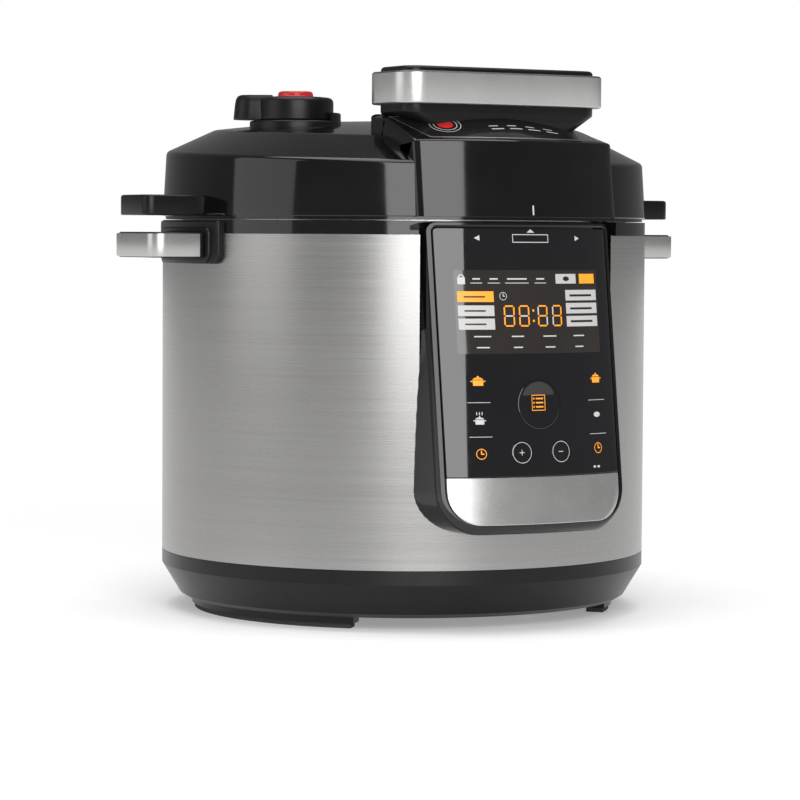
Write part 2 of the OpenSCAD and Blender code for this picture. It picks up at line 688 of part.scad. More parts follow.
module condensate_cup() color("#3a3c3f") {
    depth = pod_reach - cup_y0;
    translate([0, cup_y0 + depth / 2, cup_top - cup_h]) difference() {
        linear_extrude(cup_h) round_rect(cup_w, depth, 4);
        translate([0, 0, cup_wall]) linear_extrude(cup_h) round_rect(cup_w - 2 * cup_wall, depth - 2 * cup_wall, 2.4);
    }
    for (s = [-1, 1]) translate([s * tab_x - tab_w / 2, cup_y0 - tab_l, cup_top - 14]) cube([tab_w, tab_l + 0.5, tab_h]);
}

module cup_bracket() color("#1b1b1c") difference() {
    translate([-cup_w / 2 + 2, 0, cup_top - cup_h + 6])
        cube([cup_w - 4, cup_y0 - run, bracket_top - cup_top + cup_h - 6]);
    disc(body_r + seat, 0, z_top);
    // slots for the cup's tabs
    for (s = [-1, 1]) translate([s * tab_x - tab_w / 2 - run, cup_y0 - tab_l - run, cup_top - 14 - run])
        cube([tab_w + 2 * run, tab_l + 2, tab_h + 2 * run]);
    // mouth of the drain pipe
    translate([0, body_r - 5, drain_z]) rotate([-90, 0, 0]) cylinder(r = drain_r + 1, h = 10);
}

// ---- lid ----

module lid_profile(inset) polygon(concat(
    [[0, z_lid - over], [lid_rim_r - inset, z_lid - over], [lid_rim_r - inset, z_lid],
     [shoulder_r - inset, z_shoulder - inset * 0.6], [dome_r - inset * 0.4, z_slope - inset]],
    [for (i = [1:6]) let (r = dome_r * (1 - i / 6)) [r, dome_z(r) - inset]]));

module lid_cover() color("#1a1a1b") difference() {
    union() {
        rotate_extrude() difference() {
            lid_profile(0);
            lid_profile(wall);
            translate([0, z_lid - 2 * over]) square([body_r + 5, 2 * over]);
        }
        tube(skirt_ro + 2, lid_rim_r - 1.5, z_lid + 2, z_lid + 4);
        for (a = [60, 150, 240, 300]) rotate([0, 0, a]) translate([96, 0, 0])
            translate([0, 0, steel_z + seat]) cylinder(r = 5, h = dome_z(96) - steel_z - 1);
    }
    for (a = [60, 150, 240, 300]) rotate([0, 0, a]) translate([96, 0, 0]) disc(screw_r + 0.05, z_lid, steel_z + 14);
    // seat of the front bridge
    difference() {
        translate([-hub_w / 2 - notch_gap, -body_r - 10, z_lid - over]) cube([hub_w + 2 * notch_gap, body_r + 10, 80]);
        disc(notch_inner_r, 0, z_shoulder + 2);
        disc(dome_r + 4, 0, z_total);
    }
    translate([valve_x, valve_y, 0]) disc(9, z_shoulder, z_total);
    translate([float_x, float_y, 0]) disc(4, z_shoulder, z_total);
}

module lid_steel() color("#b4b6b8") difference() {
    union() {
        rotate_extrude() polygon([
            [0, steel_z - steel_t], [seal_ri - 3, steel_z - steel_t], [seal_ri - 3, seal_ceiling],
            [skirt_ri - 2, seal_ceiling], [skirt_ri, seal_ceiling - 2], [skirt_ri, lid_lug_z],
            [skirt_ro, lid_lug_z], [skirt_ro, seal_ceiling - 1.2], [skirt_ri - 1, seal_ceiling + steel_t],
            [seal_ri - 1.5, seal_ceiling + steel_t], [seal_ri - 1.5, steel_z], [0, steel_z]]);
        for (i = [0:lug_n - 1])
            arc_tube(lid_lug_ri, skirt_ri + 0.7, lid_lug_z, lid_lug_z + lug_t,
                360 * i / lug_n - lug_angle / 2, 360 * i / lug_n + lug_angle / 2);
    }
    translate([valve_x, valve_y, 0]) disc(pipe_ro + seat, 0, z_total);
    translate([float_x, float_y, 0]) disc(3.4, 0, z_total);
    for (a = [60, 150, 240, 300]) rotate([0, 0, a]) translate([96, 0, 0]) disc(screw_r + 0.3, 0, z_total);
}

module sealing_ring() color("#e3e3df") rotate_extrude() polygon([
    [seal_ri + 1, seal_bottom + 1.2], [pot_ro, seal_bottom + 1.2], [pot_ro + 1, seal_bottom],
    [seal_ro - 1, seal_bottom], [seal_ro, seal_bottom + 1.5], [seal_ro, seal_top], [seal_ri, seal_top],
    [seal_ri, seal_top - 2]]);

module seal_retainer() color("#a8abad") {
    wire_r = 1;
    hoop_r = seal_ri - 1.6;
    rotate_extrude() translate([hoop_r, seal_bottom + 2]) circle(wire_r, $fn = 24);
    for (a = [30, 150, 270]) rotate([0, 0, a])
        translate([hoop_r - 1.2, 0, seal_bottom + 2]) cylinder(r = 0.9, h = seal_ceiling - seat - seal_bottom - 2);
}

module lid_ear(side) mirror([side < 0 ? 1 : 0, 0, 0]) color("#1a1a1b") difference() {
    translate([0, 0, z_lid]) linear_extrude(ear_h) {
        translate([body_r - 10, -ear_w / 2]) square([handle_reach + 4, ear_w]);
        translate([body_r - 10, -ear_w / 2 + 6]) square([handle_reach + 10, ear_w - 12]);
        for (y = [-1, 1]) translate([grip_x - 6, y * (ear_w / 2 - 6)]) circle(6);
    }
    disc(lid_rim_r + seat, 0, z_total);
}
module lid_ear_left() lid_ear(-1);
module lid_ear_right() lid_ear(1);

module hub_width(w, z0, z1) translate([-w / 2, -body_d, z0])
    cube([w, body_d + bar_y + bar_d / 2 - bar_inset, z1 - z0]);

module hub_housing() color("#161617") {
    hollow_r = notch_inner_r + seat;
    difference() {
        intersection() {
            rotate_extrude() polygon([
                [hollow_r, z_lid], [hub_face_r(z_lid), z_lid], [hub_top_r, z_hub_edge], [hub_crest_r, z_hub],
                [hub_back_r, z_hub], [hub_back_r, z_hub - wall], [hub_crest_r - 1, z_hub - wall],
                [dome_r + 4.2, z_slope + 1], [dome_r + 4.2, z_shoulder + 2.2], [hollow_r, z_shoulder + 2.2]]);
            hub_width(hub_w, z_lid - over, z_total);
        }
        intersection() {
            rotate_extrude() polygon([
                [hollow_r - over, z_lid + wall], [hub_face_r(z_lid) - wall, z_lid + wall],
                [hub_top_r - wall, z_hub_edge - wall], [hub_crest_r - 1, z_hub - wall],
                [dome_r + 3, z_hub - wall - 3], [dome_r + 3, z_shoulder], [hollow_r - over, z_shoulder]]);
            hub_width(hub_w - 2 * wall, z_lid, z_total);
        }
        rotate_extrude() polygon([[hub_top_r - 2, z_hub_edge + 1.2], [hub_top_r + 4, z_hub_edge + 20],
            [hub_crest_r + 2, z_hub + 20], [hub_crest_r + 2, z_hub - 0.75]]);
    }
}

module hub_plate() color("#2a2520") intersection() {
    rotate_extrude() polygon([[hub_top_r - 2.4, z_hub_edge + 1.55], [hub_top_r - 2.4, z_hub_edge + 2.3],
        [hub_crest_r + 2.4, z_hub], [hub_crest_r + 2.4, z_hub - 0.75]]);
    hub_width(hub_w - 6, z_lid, z_total);
}

// ---- top handle ----

module bar_slab(inset, z0, z1) translate([0, bar_y, z0]) linear_extrude(z1 - z0)
    round_rect(bar_l - 2 * inset, bar_d - 2 * inset, bar_r - inset);

module handle_base() color("#1c1c1d") {
    bar_slab(bar_band_t + seat, z_bar, z_bar_cap);
    difference() {
        bar_slab(bar_inset, z_hub + seat, z_bar + over);
        for (s = [-1, 1]) translate([s * (bar_l / 2 - bar_inset), bar_y, z_hub - 1.8])
            rotate([0, 45, 0]) cube([bar_bevel, bar_d, bar_bevel], center = true);
    }
}
module handle_band() color("#c9c9c8") difference() {
    bar_slab(0, z_bar, z_bar_cap);
    bar_slab(bar_band_t, z_bar - over, z_bar_cap + over);
}
module handle_cap() color("#1c1c1d") {
    bar_slab(bar_inset - 0.5, z_bar_cap + seat, z_total - 1.5);
    bar_slab(bar_inset + 1, z_total - 2, z_total);
}

// ---- steam valve ----

module at_valve() translate([valve_x, valve_y, 0]) children();

module valve_collar() color("#1d1d1e") at_valve() difference() {
    union() {
        disc(valve_collar_r, z_slope, z_valve);
        arc_tube(valve_cap_r + 1.5, valve_collar_r - 0.5, z_valve - over, z_valve + guard_h, -60, 90);
    }
    disc(pipe_ro + seat, 0, z_total);
    translate([-valve_x, -valve_y, 0]) rotate_extrude() polygon(concat([[0, z_slope - over], [dome_r + 9, z_slope - over]],
        [for (i = [0:6]) let (r = dome_r * (1 - i / 6)) [r, dome_z(r) + seat]]));
}

module valve_pipe() color("#b9bbbd") at_valve() difference() {
    union() {
        disc(pipe_ro, steel_z - steel_t - 1, z_valve + 3);
        disc(pipe_ro + 3, steel_z + seat, steel_z + 4);
        disc(pipe_ro + 1.4, steel_z - steel_t - 3, steel_z - steel_t - seat);
    }
    disc(steam_bore / 2, 0, z_total);
}

module valve_knob() color("#202021") at_valve() difference() {
    union() {
        disc(valve_cap_r, z_valve + run, z_valve_cap);
        rotate([0, 0, lever_dir]) translate([0, -lever_w / 2, z_valve + run])
            cube([lever_reach - 6, lever_w, valve_cap_h + 1 - run]);
        rotate([0, 0, lever_dir]) translate([lever_reach - 10, 0, z_valve + run])
            cylinder(r = lever_w / 2, h = valve_cap_h + 1 - run);
    }
    disc(pipe_ro + 0.1, 0, z_valve + 3.4);
    disc(button_base_r + run, z_valve_cap - 5, z_total);
    disc(7.2, z_valve_cap - 9, z_total);
    disc(1.6, 0, z_total);
}

module release_button() color("#c01f26") at_valve() {
    disc(button_base_r, z_valve_cap - 2.2, z_valve_cap + 1);
    disc(button_r, z_valve_cap, z_valve_cap + button_h);
}

module release_spring() color("#9c9ea0") at_valve() coil(5.6, 0.6, z_valve_cap - 8.9, z_valve_cap - 2.3, 4);

module float_pin() color("#c9cbcd") translate([float_x, float_y, 0]) {
    disc(3, steel_z - steel_t - 8, steel_z + 8);
    disc(5.4, steel_z + 1.7, steel_z + 4);
}

module float_seal() color("#c85a50") translate([float_x, float_y, 0])
    tube(3.3, 5.6, steel_z + seat, steel_z + 1.4);

module anti_block_cap() color("#b4b6b8") at_valve() difference() {
    disc(14, steel_z - steel_t - 12, steel_z - steel_t - seat);
    disc(12.8, steel_z - steel_t - 10.8, steel_z);
    for (i = [0:7]) rotate([0, 0, i * 45]) translate([0, 0, steel_z - steel_t - 6]) rotate([0, 90, 0])
        cylinder(r = 2, h = 20);
}

module lid_screws() color("#b9bbbd")
    for (a = [60, 150, 240, 300]) rotate([0, 0, a]) translate([96, 0, 0]) {
        disc(screw_head_r, steel_z - steel_t - screw_head_t - seat, steel_z - steel_t - seat);
        disc(screw_r, steel_z - steel_t - 1, steel_z + 12);
    }

// ---- drawing ----

base_housing();
foot_pads();
base_screws();
base_posts();
outer_shell();
top_collar();
handle_bracket_left();
handle_bracket_right();
handle_core_left();
handle_core_right();
handle_band_left();
handle_band_right();
handle_screws();
outer_pot();
insulation_wrap();
heating_plate();
thermostat();
thermal_fuse();
pressure_switch();
sensor_bracket();
sensor_cap();
sensor_spring();
power_board();
relay();
transformer();
power_inlet();
inlet_pins();
wiring_loom();
panel_housing();
panel_glass();
panel_trim();
display_module();
control_board();
tact_switches();
menu_key();
hours_key();
minutes_key();
inner_pot();
condensate_cup();
cup_bracket();
lid_cover();
lid_steel();
sealing_ring();
seal_retainer();
lid_ear_left();
lid_ear_right();
hub_housing();
hub_plate();
handle_base();
handle_band();
handle_cap();
valve_collar();
valve_pipe();
valve_knob();
release_button();
release_spring();
float_pin();
float_seal();
anti_block_cap();
lid_screws();
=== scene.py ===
import math
import bpy
import bmesh
from mathutils import Matrix, Vector


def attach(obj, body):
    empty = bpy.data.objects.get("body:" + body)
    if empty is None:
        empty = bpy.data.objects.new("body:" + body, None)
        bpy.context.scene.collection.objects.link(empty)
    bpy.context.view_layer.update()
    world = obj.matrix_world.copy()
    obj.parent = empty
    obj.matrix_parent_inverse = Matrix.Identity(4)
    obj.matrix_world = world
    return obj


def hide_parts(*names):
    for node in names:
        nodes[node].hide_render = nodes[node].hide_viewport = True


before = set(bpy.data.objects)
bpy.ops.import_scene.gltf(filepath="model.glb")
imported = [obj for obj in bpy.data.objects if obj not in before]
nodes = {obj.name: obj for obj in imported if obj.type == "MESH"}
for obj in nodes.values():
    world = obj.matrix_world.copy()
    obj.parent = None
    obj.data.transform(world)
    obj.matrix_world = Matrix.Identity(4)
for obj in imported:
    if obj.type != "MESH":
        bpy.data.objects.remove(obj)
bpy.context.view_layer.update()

# Camera. A long lens a little under two metres away, level with the lid seam,
# looking at the cooker from its front left and a touch downwards.
heading = math.radians(-29.6)
eye = Vector((1.9 * math.sin(heading), -1.9 * math.cos(heading), 0.2226))
aim = heading + math.radians(0.05)
dip = math.radians(3.0)
ahead = Vector((-math.sin(aim) * math.cos(dip), math.cos(aim) * math.cos(dip), -math.sin(dip)))
side = ahead.cross(Vector((0, 0, 1))).normalized()
top = side.cross(ahead)
tip = math.radians(0.35)
across = side * math.cos(tip) + top * math.sin(tip)
above = top * math.cos(tip) - side * math.sin(tip)
pose = Matrix((across, above, -ahead)).transposed().to_4x4()
pose.translation = eye
camera = bpy.data.objects.new("camera", bpy.data.cameras.new("camera"))
camera.data.sensor_width = 36
camera.data.lens = 142.5
camera.data.clip_start = 0.05
camera.matrix_world = pose
bpy.context.scene.collection.objects.link(camera)
bpy.context.scene.camera = camera
bpy.context.scene.view_settings.view_transform = "Standard"


# Studio. A white room with one tall soft box behind the camera, a weaker one
# to the left and a wide one overhead. The finishes are written with this class.
class Tree:
    """The nodes of one finish."""

    def __init__(self, tree):
        self.tree = tree
        tree.nodes.clear()

    def node(self, kind, settings=None, inputs=None):
        made = self.tree.nodes.new(kind)
        for key, value in (settings or {}).items():
            setattr(made, key, value)
        for key, value in (inputs or {}).items():
            socket = made.inputs[key]
            if isinstance(value, Val):
                self.tree.links.new(value.socket, socket)
            elif isinstance(value, tuple) and socket.type == "RGBA":
                socket.default_value = (*value, 1.0)
            else:
                socket.default_value = value
        return made

    def calc(self, operation, *terms):
        made = self.node("ShaderNodeMath", {"operation": operation}, dict(enumerate(terms)))
        return Val(self, made.outputs[0])

    def place(self):
        return Val(self, self.node("ShaderNodeTexCoord").outputs["Object"])

    def stretch(self, vector, amounts):
        made = self.node("ShaderNodeVectorMath", {"operation": "MULTIPLY"}, {0: vector, 1: amounts})
        return Val(self, made.outputs[0])

    def noise(self, vector, scale, detail=2.0):
        made = self.node("ShaderNodeTexNoise", None, {"Vector": vector, "Scale": scale, "Detail": detail})
        return Val(self, made.outputs["Fac"])

    def fit(self, value, low, high, to_low=0.0, to_high=1.0):
        inputs = {"Value": value, "From Min": low, "From Max": high, "To Min": to_low, "To Max": to_high}
        return Val(self, self.node("ShaderNodeMapRange", None, inputs).outputs["Result"])

    def mix(self, share, first, second):
        made = self.node("ShaderNodeMix", {"data_type": "RGBA"}, {0: share, 6: first, 7: second})
        return Val(self, made.outputs[2])

    def bump(self, height, strength, depth):
        made = self.node(
            "ShaderNodeBump", None, {"Height": height, "Strength": strength, "Distance": depth}
        )
        return Val(self, made.outputs[0])


class Val:
    """A shader value that takes part in sums like a plain number."""

    def __init__(self, tree, socket):
        self.tree = tree
        self.socket = socket

    def __add__(self, other):
        return self.tree.calc("ADD", self, other)

    def __mul__(self, other):
        return self.tree.calc("MULTIPLY", self, other)

    __radd__ = __add__
    __rmul__ = __mul__


def finish(name, fixed, look, over=None):
    """A material: fixed sockets are set directly, look gives those that vary, over goes on top."""
    material = bpy.data.materials.new(name)
    material.use_nodes = True
    t = Tree(material.node_tree)
    shader = t.node("ShaderNodeBsdfPrincipled", None, {**fixed, **look(t)})
    surface = Val(t, shader.outputs[0])
    if over:
        surface = over(t, surface)
    t.node("ShaderNodeOutputMaterial", None, {"Surface": surface})
    return material


world = bpy.data.worlds.new("studio")
world.use_nodes = True
bpy.context.scene.world = world
room = Tree(world.node_tree)
seen = Val(room, room.node("ShaderNodeLightPath").outputs["Is Camera Ray"])
wall = room.node(
    "ShaderNodeBackground", None, {"Color": room.mix(seen, (0.2, 0.2, 0.205), (1, 1, 1)), "Strength": 1.0}
)
room.node("ShaderNodeOutputWorld", None, {"Surface": Val(room, wall.outputs[0])})


def soft_box(name, turn, far, middle, width, height, watts):
    """An area light on its stand at that heading round the cooker, facing it."""
    lamp = bpy.data.lights.new(name, "AREA")
    lamp.shape = "RECTANGLE"
    lamp.size = width
    lamp.size_y = height
    lamp.energy = watts
    stand = bpy.data.objects.new(name, lamp)
    angle = math.radians(turn)
    spot = Vector((far * math.sin(angle), -far * math.cos(angle), middle))
    stand.location = spot
    stand.rotation_euler = (spot - Vector((0, 0, 0.16))).to_track_quat("Z", "Y").to_euler()
    bpy.context.scene.collection.objects.link(stand)


soft_box("key_box", -20.2, 2.8, 1.05, 1.85, 2.1, 60)
soft_box("left_box", -98, 2.3, 0.95, 1.5, 1.7, 10)
soft_box("over_box", 0, 0.05, 2.3, 2.2, 2.2, 46)


def paper(t):
    at = t.place()
    fibre = t.noise(at, 60, 4)
    return {
        "Base Color": t.mix(fibre, (0.86, 0.86, 0.86), (0.9, 0.9, 0.9)),
        "Roughness": t.fit(fibre, 0, 1, 0.45, 0.6),
    }


def fade_out(t, near):
    """Plain white away from the cooker, so that the floor meets the wall unseen."""
    flat = t.stretch(t.place(), (1, 1, 0))
    length = t.node("ShaderNodeVectorMath", {"operation": "LENGTH"}, {0: flat})
    far_off = Val(t, length.outputs["Value"])
    plain = t.node("ShaderNodeEmission", None, {"Color": (1, 1, 1), "Strength": 1.0})
    share = t.fit(far_off, 0.3, 0.75)
    both = t.node("ShaderNodeMixShader", None, {0: share, 1: near, 2: Val(t, plain.outputs[0])})
    return Val(t, both.outputs[0])


floor_mesh = bpy.data.meshes.new("floor")
bm = bmesh.new()
bmesh.ops.create_circle(bm, cap_ends=True, radius=14, segments=64)
bm.to_mesh(floor_mesh)
bm.free()
floor = bpy.data.objects.new("floor", floor_mesh)
bpy.context.scene.collection.objects.link(floor)
white = {
    "Specular IOR Level": 0.1, "Coat Weight": 0.16, "Coat Roughness": 0.12, "Emission Color": (1, 1, 1),
    "Emission Strength": 0.3
}
floor_mesh.materials.append(finish("floor_paper", white, paper, fade_out))


# Inner parts. The works inside the base, the pot and its liner keep the
# shapes they were constructed with and get the finish of what they are made of.
def moulded(dark, light, low, high, grain=2400, strength=0.25):
    """Moulded plastic or rubber, a little uneven in colour and shine, with a fine grain."""
    def look(t):
        at = t.place()
        cloud = t.noise(at, 22, 3)
        fine = t.noise(at, grain, 2)
        return {
            "Base Color": t.mix(t.fit(cloud, 0.3, 0.7), dark, light),
            "Roughness": t.fit(cloud * 0.6 + fine * 0.4, 0.3, 0.7, low, high),
            "Normal": t.bump(fine, strength, 0.00003),
        }
    return look


def drawn(dark, light, low, high, pull=(8, 8, 1800)):
    """Bare metal with the fine lines that drawing, rolling or brushing leaves."""
    def look(t):
        at = t.place()
        lines = t.noise(t.stretch(at, pull), 1, 3)
        cloud = t.noise(at, 11, 2)
        return {
            "Base Color": t.mix(t.fit(lines * 0.7 + cloud * 0.3, 0.3, 0.7), dark, light),
            "Roughness": t.fit(lines * 0.6 + cloud * 0.4, 0.3, 0.7, low, high),
            "Normal": t.bump(lines, 0.22, 0.00002),
        }
    return look


def speckled(ground, fleck, low, high, scale):
    """A coating or casting with small flecks in it."""
    def look(t):
        at = t.place()
        spots = t.node("ShaderNodeTexVoronoi", None, {"Vector": at, "Scale": scale})
        near = Val(t, spots.outputs["Distance"])
        cloud = t.noise(at, 30, 3)
        return {
            "Base Color": t.mix(t.fit(near, 0.1, 0.22, 0.8, 0.0), ground, fleck),
            "Roughness": t.fit(cloud, 0.3, 0.7, low, high),
            "Normal": t.bump(cloud, 0.2, 0.0001),
        }
    return look


metal = {"Metallic": 1.0}
finishes = {
    "black_plastic": finish(
        "black_plastic", {"Specular IOR Level": 0.25},
        moulded((0.004, 0.004, 0.0045), (0.007, 0.007, 0.0075), 0.26, 0.36)
    ),
    "gloss_black": finish(
        "gloss_black", {"Coat Weight": 0.1, "Specular IOR Level": 0.4},
        moulded((0.003, 0.003, 0.0035), (0.006, 0.006, 0.0065), 0.06, 0.11, 500, 0.02)
    ),
    "inner_steel": finish("inner_steel", metal, drawn((0.5, 0.5, 0.5), (0.66, 0.66, 0.65), 0.2, 0.32)),
    "rubber_feet": finish(
        "rubber_feet", {}, moulded((0.02, 0.02, 0.02), (0.032, 0.032, 0.031), 0.7, 0.85)
    ),
    "silicone": finish(
        "silicone", {"Subsurface Weight": 0.1}, moulded((0.68, 0.67, 0.63), (0.76, 0.75, 0.72), 0.45, 0.6)
    ),
    "heater_alloy": finish(
        "heater_alloy", metal, speckled((0.5, 0.5, 0.51), (0.38, 0.38, 0.39), 0.35, 0.5, 900)
    ),
    "zinc_steel": finish(
        "zinc_steel", metal, drawn((0.55, 0.56, 0.58), (0.64, 0.64, 0.63), 0.28, 0.4, (300, 300, 300))
    ),
    "circuit_board": finish(
        "circuit_board", {}, speckled((0.02, 0.13, 0.04), (0.05, 0.24, 0.08), 0.25, 0.4, 420)
    ),
    "component_black": finish(
        "component_black", {}, moulded((0.022, 0.022, 0.025), (0.035, 0.035, 0.038), 0.45, 0.6)
    ),
    "component_white": finish(
        "component_white", {}, moulded((0.7, 0.68, 0.62), (0.78, 0.76, 0.71), 0.4, 0.55)
    ),
    "copper_winding": finish(
        "copper_winding", metal, drawn((0.5, 0.24, 0.1), (0.68, 0.36, 0.18), 0.25, 0.4)
    ),
    "pin_metal": finish(
        "pin_metal", metal, drawn((0.62, 0.61, 0.57), (0.72, 0.71, 0.67), 0.16, 0.26, (60, 60, 60))
    ),
    "wire_sleeve": finish("wire_sleeve", {}, moulded((0.55, 0.53, 0.48), (0.66, 0.64, 0.6), 0.5, 0.65)),
    "insulation_felt": finish(
        "insulation_felt", {}, moulded((0.6, 0.58, 0.52), (0.74, 0.72, 0.67), 0.85, 0.95, 1500, 0.8)
    ),
    "pot_coating": finish(
        "pot_coating", {}, speckled((0.03, 0.03, 0.032), (0.12, 0.12, 0.12), 0.28, 0.42, 1300)
    ),
    "smoke_plastic": finish(
        "smoke_plastic", {"Alpha": 0.72},
        moulded((0.05, 0.05, 0.052), (0.08, 0.08, 0.082), 0.12, 0.2, 900, 0.04)
    ),
}
made_of = {
    "black_plastic": ["base_housing", "power_inlet", "cup_bracket"],
    "gloss_black": ["top_collar"],
    "inner_steel": ["outer_pot", "lid_steel", "anti_block_cap"],
    "rubber_feet": ["foot_pads"],
    "silicone": ["sealing_ring", "float_seal"],
    "heater_alloy": ["heating_plate", "sensor_cap"],
    "pin_metal": ["inlet_pins", "float_pin"],
    "wire_sleeve": ["wiring_loom"],
    "insulation_felt": ["insulation_wrap"],
    "pot_coating": ["inner_pot"],
    "smoke_plastic": ["condensate_cup"],
    "circuit_board": ["power_board", "control_board"],
    "component_black": ["relay", "pressure_switch", "display_module"],
    "component_white": ["thermostat", "thermal_fuse", "tact_switches"],
    "copper_winding": ["transformer"],
}
for node_name, node in nodes.items():
    chosen = "zinc_steel"
    for key, names in made_of.items():
        if node_name in names:
            chosen = key
    node.data.materials.clear()
    node.data.materials.append(finishes[chosen])


# Steel shell. One sheet of brushed stainless rolled into a drum, held in the
# base below and under the collar above, open at the front behind the panel.
def loft(bm, rings, shut=True, caps=True):
    """Joins rings of points in millimetres one after the other into a skin."""
    rows = [[bm.verts.new(Vector(point) * 0.001) for point in ring] for ring in rings]
    count = len(rows[0])
    for low, high in zip(rows, rows[1:]):
        for i in range(count if shut else count - 1):
            j = (i + 1) % count
            bm.faces.new((low[i], low[j], high[j], high[i]))
    if caps:
        bm.faces.new(rows[0][::-1])
        bm.faces.new(rows[-1])


def turned(bm, profile, start=0.0, stop=360.0, steps=128, shut=True, middle=(0, 0)):
    """Spins a profile of (radius, height) about an upright axis."""
    centre = Vector((middle[0], middle[1], 0)) * 0.001
    turn = math.radians(start)
    verts = []
    for r, z in profile:
        verts.append(bm.verts.new(centre + Vector((r * math.cos(turn), r * math.sin(turn), z)) * 0.001))
    ends = verts[1:] + verts[:1] if shut else verts[1:]
    edges = [bm.edges.new(pair) for pair in zip(verts, ends)]
    whole = stop - start > 359.9
    spun = bmesh.ops.spin(
        bm, geom=verts + edges, cent=centre, axis=(0, 0, 1),
        angle=math.radians(stop - start), steps=steps, use_merge=whole,
    )
    if shut and not whole:
        last = [part for part in spun["geom_last"] if isinstance(part, bmesh.types.BMEdge)]
        bmesh.ops.edgeloop_fill(bm, edges=edges)
        bmesh.ops.edgeloop_fill(bm, edges=last)


def rounded(points, steps=6, shut=True):
    """Corners given as (a, b, radius) with each one replaced by an arc."""
    out = []
    for i, (a, b, radius) in enumerate(points):
        here = Vector((a, b))
        if radius == 0 or (not shut and i in (0, len(points) - 1)):
            out.append((a, b))
            continue
        back = (Vector(points[i - 1][:2]) - here).normalized()
        on = (Vector(points[(i + 1) % len(points)][:2]) - here).normalized()
        half = back.angle(on) / 2
        centre = here + (back + on).normalized() * radius / math.sin(half)
        first = here + back * radius / math.tan(half) - centre
        last = here + on * radius / math.tan(half) - centre
        whole = first.angle(last)
        for k in range(steps + 1):
            share = k / steps
            spoke = (
                first * math.sin((1 - share) * whole) + last * math.sin(share * whole)
            ) / math.sin(whole)
            out.append(tuple(centre + spoke))
    return out


def piece(name, bm, body, slot, *stands_for, material=None, sharp=32):
    """Turns the mesh into an object that rides on a body and has its finish."""
    bmesh.ops.remove_doubles(bm, verts=bm.verts, dist=1e-6)
    bmesh.ops.dissolve_degenerate(bm, edges=bm.edges, dist=1e-7)
    bmesh.ops.recalc_face_normals(bm, faces=bm.faces)
    mesh = bpy.data.meshes.new(name)
    bm.to_mesh(mesh)
    bm.free()
    mesh.materials.append(material or finishes[slot])
    mesh.shade_smooth()
    mesh.set_sharp_from_angle(angle=math.radians(sharp))
    made = bpy.data.objects.new(name, mesh)
    bpy.context.scene.collection.objects.link(made)
    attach(made, body)
    if stands_for:
        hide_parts(*stands_for)
    return made


def brushed(t):
    at = t.place()
    lines = t.noise(t.stretch(at, (7, 7, 3600)), 1, 4)
    broad = t.noise(t.stretch(at, (3, 3, 420)), 1, 2)
    cloud = t.noise(at, 8, 2)
    mixed = lines * 0.65 + broad * 0.35
    return {
        "Base Color": t.mix(t.fit(mixed, 0.32, 0.68), (0.29, 0.286, 0.28), (0.335, 0.331, 0.323)),
        "Roughness": t.fit(mixed * 0.7 + cloud * 0.3, 0.35, 0.65, 0.24, 0.3),
        "Normal": t.bump(lines, 0.12, 0.00001),
    }


finishes["brushed_stainless"] = finish(
    "brushed_stainless", {"Metallic": 1.0, "Anisotropic": 0.55}, brushed
)
bm = bmesh.new()
turned(
    bm,
    [
        (143.2, 34.9), (143.8, 34.9), (144, 35.1), (144, 90), (144, 150), (144, 222.3), (143.8, 222.5),
        (143.2, 222.5), (143.2, 90)
    ],
    steps=180
)
hidden = [
    f
    for f in bm.faces if f.calc_center_median().y < 0 and abs(f.calc_center_median().x) < 0.063 and f.calc_center_median().z > 0.1
]
bmesh.ops.delete(bm, geom=hidden, context="FACES")
drum = piece("shell_drum", bm, "cooker_body", "brushed_stainless", "outer_shell")


def bore(target, bm):
    """Cuts the shapes in the mesh out of a piece, for good."""
    mesh = bpy.data.meshes.new("bore")
    bm.to_mesh(mesh)
    bm.free()
    cutter = bpy.data.objects.new("bore", mesh)
    bpy.context.scene.collection.objects.link(cutter)
    cut = target.modifiers.new("bore", "BOOLEAN")
    cut.operation = "DIFFERENCE"
    cut.solver = "EXACT"
    cut.object = cutter
    bpy.context.view_layer.update()
    holed = bpy.data.meshes.new_from_object(target.evaluated_get(bpy.context.evaluated_depsgraph_get()))
    target.modifiers.remove(cut)
    target.data = holed
    holed.set_sharp_from_angle(angle=math.radians(32))
    bpy.data.objects.remove(cutter)


bm = bmesh.new()
inlet_place = Matrix.Translation((0, 0.144, 0.0478)) @ Matrix.Diagonal((0.030, 0.03, 0.020, 1))
bmesh.ops.create_cube(bm, size=1, matrix=inlet_place)
bore(drum, bm)


# Panel housing. A gloss black moulding screwed to the front of the drum. Its
# face leans back and is bowed, its lower corners are round and its sides flare.
lean = math.tan(math.radians(6.7))


def face_r(z):
    return 142.8 + (229.5 - z) * lean


def shield_rows(half, low, high, low_r, high_r, steps=10):
    """Heights and half widths of an outline with round corners, from the bottom up."""
    rows = []
    for k in range(steps + 1):
        a = math.radians(90 * k / steps)
        rows.append((low + low_r * (1 - math.cos(a)), half - low_r + low_r * math.sin(a)))
    straight = 14
    for k in range(1, straight):
        rows.append((low + low_r + (high - high_r - low - low_r) * k / straight, half))
    for k in range(steps // 2 + 1):
        a = math.radians(90 * k / (steps // 2))
        rows.append((high - high_r + high_r * math.sin(a), half - high_r + high_r * math.cos(a)))
    return rows


